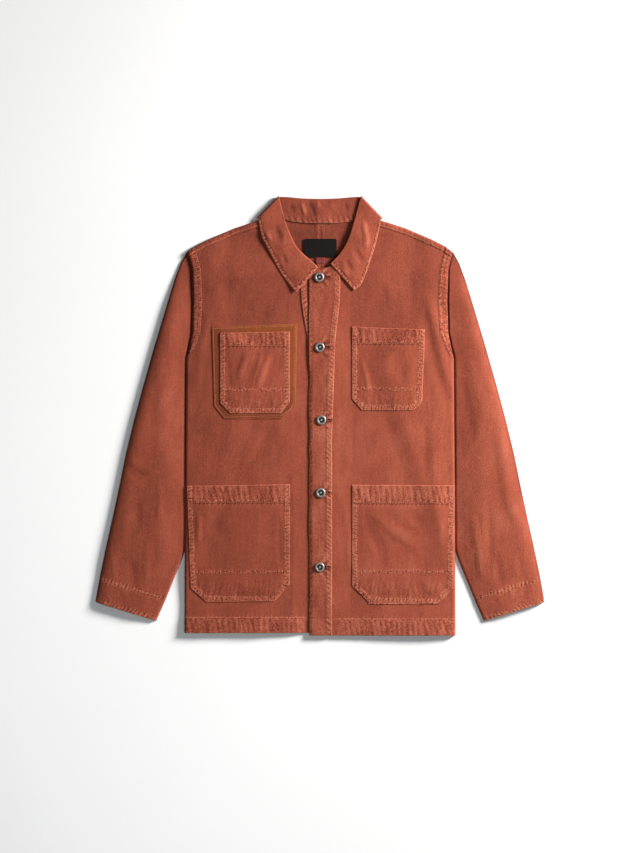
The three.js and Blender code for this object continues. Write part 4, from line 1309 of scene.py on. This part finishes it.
def collar_surface():
    """The collar's middle surface: rows round the neck, columns from neck to free edge."""
    right, left = ([eased(rail, LEAF_ROWS) for rail in stations_of(LEAVES[side], side)]
                   for side in (RIGHT, LEFT))
    flipped = [((-neck[0], *neck[1:]), (-roll[0], *roll[1:]), leaf, (-edge[0], *edge[1:]))
               for neck, roll, leaf, edge in reversed(BACK_COLLAR[1:])]
    back = [eased(rail, BACK_ROWS) for rail in stations_of(flipped + BACK_COLLAR, 1)]
    stations = [[rail[i] for rail in right] for i in reversed(range(LEAF_ROWS))]
    stations += side_fold(stations[-1], [rail[0] for rail in back])
    stations += [[rail[i] for rail in back] for i in range(BACK_ROWS)]
    ahead = [rail[0] for rail in left]
    stations += list(reversed(side_fold(ahead, stations[-1])))
    stations += [[rail[i] for rail in left] for i in range(LEAF_ROWS)]

    rows = []
    for neck, stand, leaf, edge in stations:
        beyond = stand - neck
        beyond[2] = 0
        beyond /= max(np.linalg.norm(beyond), 1e-6)
        up_stand = [neck + (stand - neck) * t for t in np.linspace(0, 1, STAND_STEPS)]
        turn = [stand + (leaf - stand) * (1 - math.cos(a)) / 2 + beyond * 1.7 * math.sin(a)
                for a in np.linspace(0, math.pi, ROLL_STEPS)[1:-1]]
        shares = steps(45, 45 / LEAF_STEPS, (0, 0.4, 0.9, 1.6, 2.6)) / 45
        over = [leaf + (edge - leaf) * t for t in shares]
        rows.append(up_stand + turn + over)
    return np.array(rows)


def leaf_relief(run, ends, from_edge, share, x, up):
    """Rise, wear and speckle of the collar's leaves, with a row round the free edges."""
    seam = np.minimum(from_edge, ends)
    row = bump(seam - COLLAR_ROW, 1.4)
    rope = puckers(401, 6, run + 0.6 * from_edge, from_edge) * bump(seam - 3.6, 4.5)
    end_rope = puckers(403, 6, from_edge, run) * bump(ends - 3.6, 4.5) * (from_edge > COLLAR_ROW)
    creases = fold_rise(LEAF_FOLDS, x, up) + 0.4 * clouds(405, 16, 22, x, up)
    rise = 1.3 * np.sin(math.pi * np.clip(share, 0, 1)) * smooth(ends / 20)
    rise = rise + 0.45 * rope + 0.45 * end_rope - 0.4 * row + 1.6 * creases * smooth(seam / 9)
    wear_and_shade = 1.7 * rope + 1.5 * end_rope - 0.7 * row + 0.5 * creases - 0.1
    wear_and_shade = wear_and_shade + 0.6 * bump(seam - 0.9, 2.2)
    return rise, wear_and_shade, np.maximum(0.1, bump(seam - 4, 4))


def stand_relief(from_neck, x, up):
    """The same of the collar's stand behind the neck."""
    rope = puckers(411, 9.5, x + 0.3 * up, up) * (1 - smooth((from_neck - 3) / 14))
    creases = 1.5 * fold_rise(STAND_FOLDS, x, up) + 0.3 * clouds(413, 14, 40, x, up)
    creases = creases * smooth(from_neck / 6)
    wear_and_shade = 1.3 * rope + 0.6 * creases - 0.4 + 2.0 * bump(from_neck - 0.8, 2.6)
    return 0.35 * rope + creases, wear_and_shade, 0.8 * bump(from_neck - 3, 5)


def make_collar():
    surface = collar_surface()
    rows, columns, _ = surface.shape
    first_leaf = STAND_STEPS + ROLL_STEPS - 2
    run = np.cumsum(np.linalg.norm(np.diff(surface[:, -1], axis=0), axis=1))
    run = np.concatenate([[0], run])[:, None]
    ends = np.minimum(run, run[-1] - run)
    from_neck = np.cumsum(np.linalg.norm(np.diff(surface, axis=1), axis=2), axis=1)
    from_neck = np.concatenate([np.zeros((rows, 1)), from_neck], axis=1)
    from_edge = from_neck[:, -1:] - from_neck
    front, on_leaf = np.zeros((rows, 1)), np.zeros((rows, columns))
    front[:LEAF_ROWS] = front[-LEAF_ROWS:] = 1
    on_leaf[:, first_leaf:] = 1
    leaf, behind = on_leaf * front, (1 - front) * (1 - on_leaf)

    x, up = surface[..., 0], surface[..., 1]
    share = from_edge / np.maximum(from_edge[:, first_leaf:first_leaf + 1], 1)
    over = leaf_relief(run, ends, from_edge, share, x, up)
    stand = stand_relief(from_neck, x, up)
    rest = front_stack(x, up) + COLLAR / 2 + 0.2
    height = surface[..., 2]
    height = np.where(leaf > 0, np.maximum(height + leaf * over[0], rest), height)
    surface = np.stack([x, up, height + behind * stand[0]], -1)
    wear_and_shade = leaf * over[1] + behind * stand[1]
    seam = leaf * over[2] + behind * stand[2]

    ahead, aside = np.gradient(surface, axis=0), np.gradient(surface, axis=1)
    normal = np.cross(ahead, aside)
    normal /= np.maximum(np.linalg.norm(normal, axis=-1, keepdims=True), 1e-9)
    if normal[rows // 2, first_leaf + 4, 2] > 0:
        normal = -normal
    thin = dome(from_edge / 1.3) * dome(ends / 1.3) * dome(from_neck / 1.3)
    half = (COLLAR / 2 * (0.15 + 0.85 * thin))[..., None]
    points = np.concatenate([(surface - normal * half).reshape(-1, 3),
                             (surface + normal * half).reshape(-1, 3)])
    points[:, 2] = np.maximum(points[:, 2], 0)
    return make_object("collar_visual", points, shell_faces(rows, columns),
                       np.tile(wear_and_shade.ravel(), 2), np.tile(seam.ravel(), 2), CANVAS)


# ----------------------------------------------------------- buttons, label and size tab


def make_round(name, centre, profile, material, count=56):
    """A turned piece: rows of (radius, z, tone) round a centre of (x, up); the tone is dark patina
    in hollows, and lighter rubbed metal with a painted highlight on raised places.
    """
    profile = np.array(profile, float)
    turn = np.linspace(0, 2 * math.pi, count, endpoint=False)
    radius, level, patina_and_highlight = profile[:, :1], profile[:, 1:2], profile[:, 2:3]
    points = np.stack([
        centre[0] + radius * np.cos(turn), centre[1] + radius * np.sin(turn),
        level + 0 * turn,
    ], -1).reshape(-1, 3)
    rows = len(profile)
    index = np.arange(rows * count).reshape(rows, count)
    nxt = np.roll(index, -1, axis=1)
    quads = np.stack([index[:-1], nxt[:-1], nxt[1:], index[1:]], -1).reshape(-1, 4)
    wear_and_shade = (patina_and_highlight + 0 * turn).ravel()
    return make_object(name, points, quads, wear_and_shade, 0 * wear_and_shade, material)


def make_button(number):
    x0, up0, z0, x1, up1, z1 = node_box(f"button_{number}")
    centre = ((x0 + x1) / 2, (up0 + up1) / 2)
    radius = (x1 - x0) / 2
    base, _, _ = placket_top(np.array([centre[0] + 4.0]), np.array([centre[1]]), LEFT)
    seat = max(float(base[0]) + 0.3, z1 - 3.0)
    top = seat + 2.3
    # The third column is the metal's tone: dark patina in the recess round the centre, lighter
    # rubbed metal and a painted highlight on the ring's crown, and a painted glint on the centre.
    profile = [
        (0.02, z0 + 0.4, 0), (1.5, z0 + 0.4, 0), (1.5, seat, 0), (radius - 1.6, seat, 0.1),
        (radius - 0.5, seat + 0.3, 0.3), (radius - 0.05, seat + 0.8, 0.5),
        (radius - 0.1, seat + 1.3, 0.7), (radius - 0.6, top - 0.45, 0.9),
        (radius - 1.3, top - 0.12, 1.0), (radius - 2.2, top, 0.9), (radius - 3.2, top - 0.1, 0.7),
        (radius - 4.1, top - 0.45, 0.5), (radius - 4.6, top - 0.8, 0.1),
        (radius - 5.0, top - 1.2, -0.6), (radius - 5.4, top - 1.4, -1.0),
        (radius - 6.0, top - 1.3, -0.8), (radius - 6.6, top - 0.9, 0.1),
        (1.6, top - 0.6, 0.9), (0.8, top - 0.5, 1.0), (0.02, top - 0.5, 1.0),
    ]
    return make_round(f"button_{number}_visual", centre, profile, METAL)


def back_inside(x, up):
    """Inner surface of the back, where its halves lap and beside it."""
    past = np.maximum(np.maximum(-4.5 - x, x - 12), 0)
    return back_low(x, up) + CLOTH + OVERLAP * (1 - smooth(past / 4))


def make_inner_patch(node, material, thick, border, round_by):
    """A woven patch on the inside of the back, with rounded corners and a raised border."""
    x0, up0, _, x1, up1, _ = node_box(node)
    edge_steps = (0, 0.2, 0.5, 1.0)
    across, along = (steps(length, 1.2, edge_steps) for length in (x1 - x0, up1 - up0))
    x, up = np.meshgrid(x0 + across, up0 + along)
    from_end = np.minimum(up - up0, up1 - up)
    edge = np.minimum(np.minimum(x - x0, x1 - x), from_end)
    near_end = np.clip(round_by - from_end, 0, round_by)
    drawn_in = round_by - np.sqrt(round_by**2 - near_end**2)
    middle = (x0 + x1) / 2
    x = middle + (x - middle) * (1 - drawn_in / (x1 - middle))
    level = float(back_inside(x, up).max()) + GAP
    base = level + 0.3 * clouds(501, 26, 16, x, up) + 0.3
    raised = smooth((border - edge) / 0.4)
    high = base + 0.1 + (thick - 0.1 + 0.12 * raised) * dome(edge / 0.6)
    return make_shell(f"{node}_visual", x, up, base, high, 0.5 * raised, 0, material)


# --------------------------------------------------------------------------- stitches

STITCH = 2.5             # length on the surface
PITCH = 3.3
THREAD_WIDE = 1.0
STITCH_RINGS = STITCH_SIDES = 4


def along_path(path):
    """Places along a line of points, PITCH apart, each with the line's direction."""
    path = np.array(path, float)
    lengths = np.hypot(*np.diff(path, axis=0).T)
    run = np.concatenate([[0], np.cumsum(lengths)])
    spots = np.arange(PITCH / 2, run[-1], PITCH)
    index = np.clip(np.searchsorted(run, spots) - 1, 0, len(lengths) - 1)
    t = ((spots - run[index]) / lengths[index])[:, None]
    points = path[index] + (path[index + 1] - path[index]) * t
    heading = (path[index + 1] - path[index]) / lengths[index][:, None]
    return points, heading


def stitch_rows(height, paths):
    """Points and faces of the stitches along paths on a surface of that height."""
    places = [along_path(path) for path in paths]
    spots = np.concatenate([place for place, _ in places])
    heading = np.concatenate([way for _, way in places])
    return stitch_mesh(spots, heading, height, STITCH, THREAD_WIDE)


def stitch_mesh(spots, heading, height, length, wide):
    """Points and faces of stitches, one at each spot, whose ends dip into the cloth."""
    rings, sides = STITCH_RINGS, STITCH_SIDES
    thick = np.array([0.4, 1.0, 1.0, 0.4]) * wide / 2
    turn = np.linspace(0, 2 * math.pi, sides, endpoint=False) + math.pi / 2
    across = np.stack([-heading[:, 1], heading[:, 0]], 1)
    verts = []
    for step, radius in zip(np.linspace(-1, 1, rings), thick):
        centre = spots + heading * step * length / 2
        middle = height(centre[:, 0], centre[:, 1]) + 0.24 * wide - 0.7 * wide * step**2
        for angle in turn:
            place = centre + across * (radius * math.cos(angle))
            level = middle + 0.8 * radius * math.sin(angle)
            verts.append(np.concatenate([place, level[:, None]], 1))
    verts = np.stack(verts, 1)
    quads = []
    for ring in range(rings - 1):
        for k in range(sides):
            a, b = ring * sides + k, ring * sides + (k + 1) % sides
            quads.append((a, b, b + sides, a + sides))
    last = (rings - 1) * sides
    quads += [(0, 1, 2, 3), (last + 3, last + 2, last + 1, last)]
    faces = np.array(quads)[None] + (np.arange(len(spots)) * rings * sides)[:, None, None]
    return verts.reshape(-1, 3), faces.reshape(-1, 4)


def join_stitches(name, groups, material=THREAD, shade=0.0):
    """One object from groups of (points, faces)."""
    points, faces, count = [], [], 0
    for verts, quads in groups:
        points.append(verts)
        faces.append(quads + count)
        count += len(verts)
    points, faces = np.concatenate(points), np.concatenate(faces)
    placed = points * MM + np.array([0, HEM_Y, 0])
    mesh = bpy.data.meshes.new(name)
    mesh.from_pydata(placed.tolist(), [], faces.tolist())
    mesh.polygons.foreach_set("use_smooth", np.ones(len(faces), bool))
    each = STITCH_RINGS * STITCH_SIDES
    wear_and_shade = shade + np.random.default_rng(7).uniform(-0.35, 0.35, len(points) // each).repeat(each)
    mesh.attributes.new("wear_and_shade", "FLOAT", "POINT").data.foreach_set("value", wear_and_shade.astype(np.float32))
    mesh.attributes.new("seam", "FLOAT", "POINT")
    mesh.update()
    made = bpy.data.objects.new(name, mesh)
    bpy.context.scene.collection.objects.link(made)
    made.data.materials.append(material)
    finish_piece(made)


def inset(outline, distance):
    """The outline moved inwards; it is open, and its ends stay on the same side."""
    centre = np.mean(np.array(outline), axis=0)
    lines = []
    for a, b in zip(outline, outline[1:]):
        a, b = np.array(a, float), np.array(b, float)
        way = (b - a) / np.linalg.norm(b - a)
        normal = np.array([-way[1], way[0]])
        if np.dot(centre - a, normal) < 0:
            normal = -normal
        lines.append((a + normal * distance, way))
    points = [lines[0][0]]
    for (p, u), (q, v) in zip(lines, lines[1:]):
        cross = u[0] * v[1] - u[1] * v[0]
        t = ((q[0] - p[0]) * v[1] - (q[1] - p[1]) * v[0]) / cross
        points.append(p + u * t)
    end, way = lines[-1]
    last = np.array(outline[-1], float) - np.array(outline[-2], float)
    points.append(end + way * np.linalg.norm(last))
    return points


def pocket_stitches():
    groups = []
    for name, pocket in POCKETS.items():
        outline = pocket_outline(name)
        around = outline[1:] + outline[:1]
        (ix, _), (ox, _) = outline[0], outline[1]
        across = [(ix + (ox - ix) * share, pocket["turned"]) for share in (0.01, 0.985)]
        groups.append(stitch_rows(lambda x, up: pocket_top(name, x, up)[0],
                                  [inset(around, row) for row in POCKET_ROWS] + [across]))
    outline = backing_outline()
    first_row = inset(outline + outline[:2], BACKING_ROWS[0])[1:]
    return groups + [stitch_rows(lambda x, up: backing_top(x, up)[0], [first_row])]


def body_stitches(side):
    hem = [(side * out, HEM_LINE[side]) for out in np.linspace(24, 243, 60)]
    shoulder = [(side * out, top_edge(out) - SHOULDER_SEAM) for out in np.linspace(112, 224, 30)]
    ups = np.linspace(516, 692, 40)
    arm = [(side * (side_edge(up) - read(ARMHOLE_SEAM, up)), up) for up in ups]
    outer_arm = [(x + side * ARM_ROWS_APART, up) for x, up in arm[5:]]
    return stitch_rows(lambda x, up: front_top(x, up, side)[0], [hem, shoulder, arm, outer_arm])


def placket_stitches(side):
    ups = np.linspace(6, 640, 120)
    first, second = PLACKET_ROWS
    paths = [[(side * (read(PLACKET_INNER[side], up) - first), up) for up in ups]]
    if side == LEFT:
        paths.append([(side * (FREE_ROW - FREE_EDGE), up) for up in ups])
        paths.append([(side * (read(PLACKET_INNER[side], up) - second), up) for up in ups])
    return stitch_rows(lambda x, up: placket_top(x, up, side)[0], paths)


def cuff_stitches(side):
    corner, way, length = cuff_edge()
    paths = []
    for above, start, end in ((CUFF, 8, length + 4), (CUFF_EDGE_ROW, 4, length - 2)):
        places = (corner + way * along + np.array([-way[1], way[0]]) * above
                  for along in np.linspace(start, end, 24))
        paths.append([(side * out, up) for out, up in places])
    return stitch_rows(lambda x, up: sleeve_top(x, up, side)[0], paths)


def buttonhole_threads():
    """Close stitches round each buttonhole, across its slit's two edges."""
    spots, heading = [], []
    for place, level in button_places():
        for offset in (-2.3, 2.3):
            for x in np.arange(place + 3, place + HOLE_LENGTH, 0.8):
                spots.append((x, level + offset))
                heading.append((0.12, 1.0))
        for up in np.arange(level - 2.2, level + 2.3, 0.75):
            spots.append((place + HOLE_LENGTH + 0.9, up))
            heading.append((1.0, 0.05))
    heading = np.array(heading)
    heading = heading / np.linalg.norm(heading, axis=1)[:, None]
    return stitch_mesh(np.array(spots), heading, lambda x, up: placket_top(x, up, LEFT)[0], 2, 0.6)


# ----------------------------------------------------------------------- put together


def finish_piece(piece, node=None):
    """Attaches a piece to what it rides on and hides the CAD node that it replaces."""
    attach(piece, "root")
    if node:
        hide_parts(node)

pieces = [make(side) for make in (make_back, make_front, make_placket) for side in SIDES]
pieces += [make(side) for side in SIDES for make in (make_sleeve_top, make_sleeve_under)]
pieces += [make_collar(), make_backing()]
pieces += [make_pocket(name) for name in POCKETS]
pieces += [make_button(number) for number in range(1, 6)]
pieces += [make_inner_patch("label", BLACK, 0.8, 1.6, 3.0),
           make_inner_patch("size_tab", RED, 0.6, 0.8, 0.6)]
slots = {"pocket_backing": "tan_canvas", "label": "label_black", "size_tab": "tab_red"}
slots |= {f"button_{number}": "button_metal" for number in range(1, 6)}
for piece in pieces:
    node = piece.name.removesuffix("_visual")
    finish_piece(piece, node)

join_stitches("pocket_stitches", pocket_stitches())
join_stitches("body_stitches", [body_stitches(side) for side in SIDES]
              + [cuff_stitches(side) for side in SIDES])
join_stitches("placket_stitches", [placket_stitches(side) for side in SIDES])
join_stitches("buttonhole_stitches", [buttonhole_threads()], CANVAS, -0.7)


# ------------------------------------------------------------------ floor, light, camera

floor_look = Look("floor")
spot = floor_look.node("ShaderNodeSeparateXYZ", {}, {"Vector": floor_look.place()}).outputs
# The floor is painted darker towards the key light, painted shade that evens out the key's
# fall-off; a faint noise varies it.
towards_key = Varying(floor_look, spot["X"]) * 0.55 + Varying(floor_look, spot["Y"]) * 0.35
floor_painted_shade = (towards_key + 0.45 + floor_look.noise(3, 2) * 0.1).clamped()
floor_look.set(Base_Color=floor_look.mix(floor_painted_shade, paint(250, 250, 250), paint(196, 196, 196)),
               Roughness=1.0, Specular_IOR_Level=0.0)
bpy.ops.mesh.primitive_plane_add(size=12, location=(0, 0, -0.0004))
floor = bpy.context.object
floor.name = "floor"
floor.data.materials.append(floor_look.material)


def area_light(name, place, target, size, power, tint):
    data = bpy.data.lights.new(name, "AREA")
    data.shape = "DISK"
    data.size = size
    data.energy = power
    data.color = tint
    made = bpy.data.objects.new(name, data)
    made.location = place
    made.rotation_euler = (Vector(target) - Vector(place)).to_track_quat("-Z", "Y").to_euler()
    bpy.context.scene.collection.objects.link(made)
    return made


area_light("key", (2.05, 1.0, 1.0), (0, 0, 0), 0.8, 196, (1, 0.985, 0.97))
area_light("fill", (0.35, -0.8, 2.6), (0, 0, 0), 2.0, 18, (0.95, 0.98, 1))

world = bpy.data.worlds.new("studio")
bpy.context.scene.world = world
world.use_nodes = True
world.node_tree.nodes["Background"].inputs["Color"].default_value = (0.93, 0.97, 1, 1)
world.node_tree.nodes["Background"].inputs["Strength"].default_value = 0.13
bpy.context.scene.view_settings.view_transform = "Standard"

camera_data = bpy.data.cameras.new("camera")
camera_data.lens = 85
camera_data.sensor_width = 36
camera = bpy.data.objects.new("camera", camera_data)
camera.location = (0, -0.0185, 3.632)
bpy.context.scene.collection.objects.link(camera)
bpy.context.scene.camera = camera
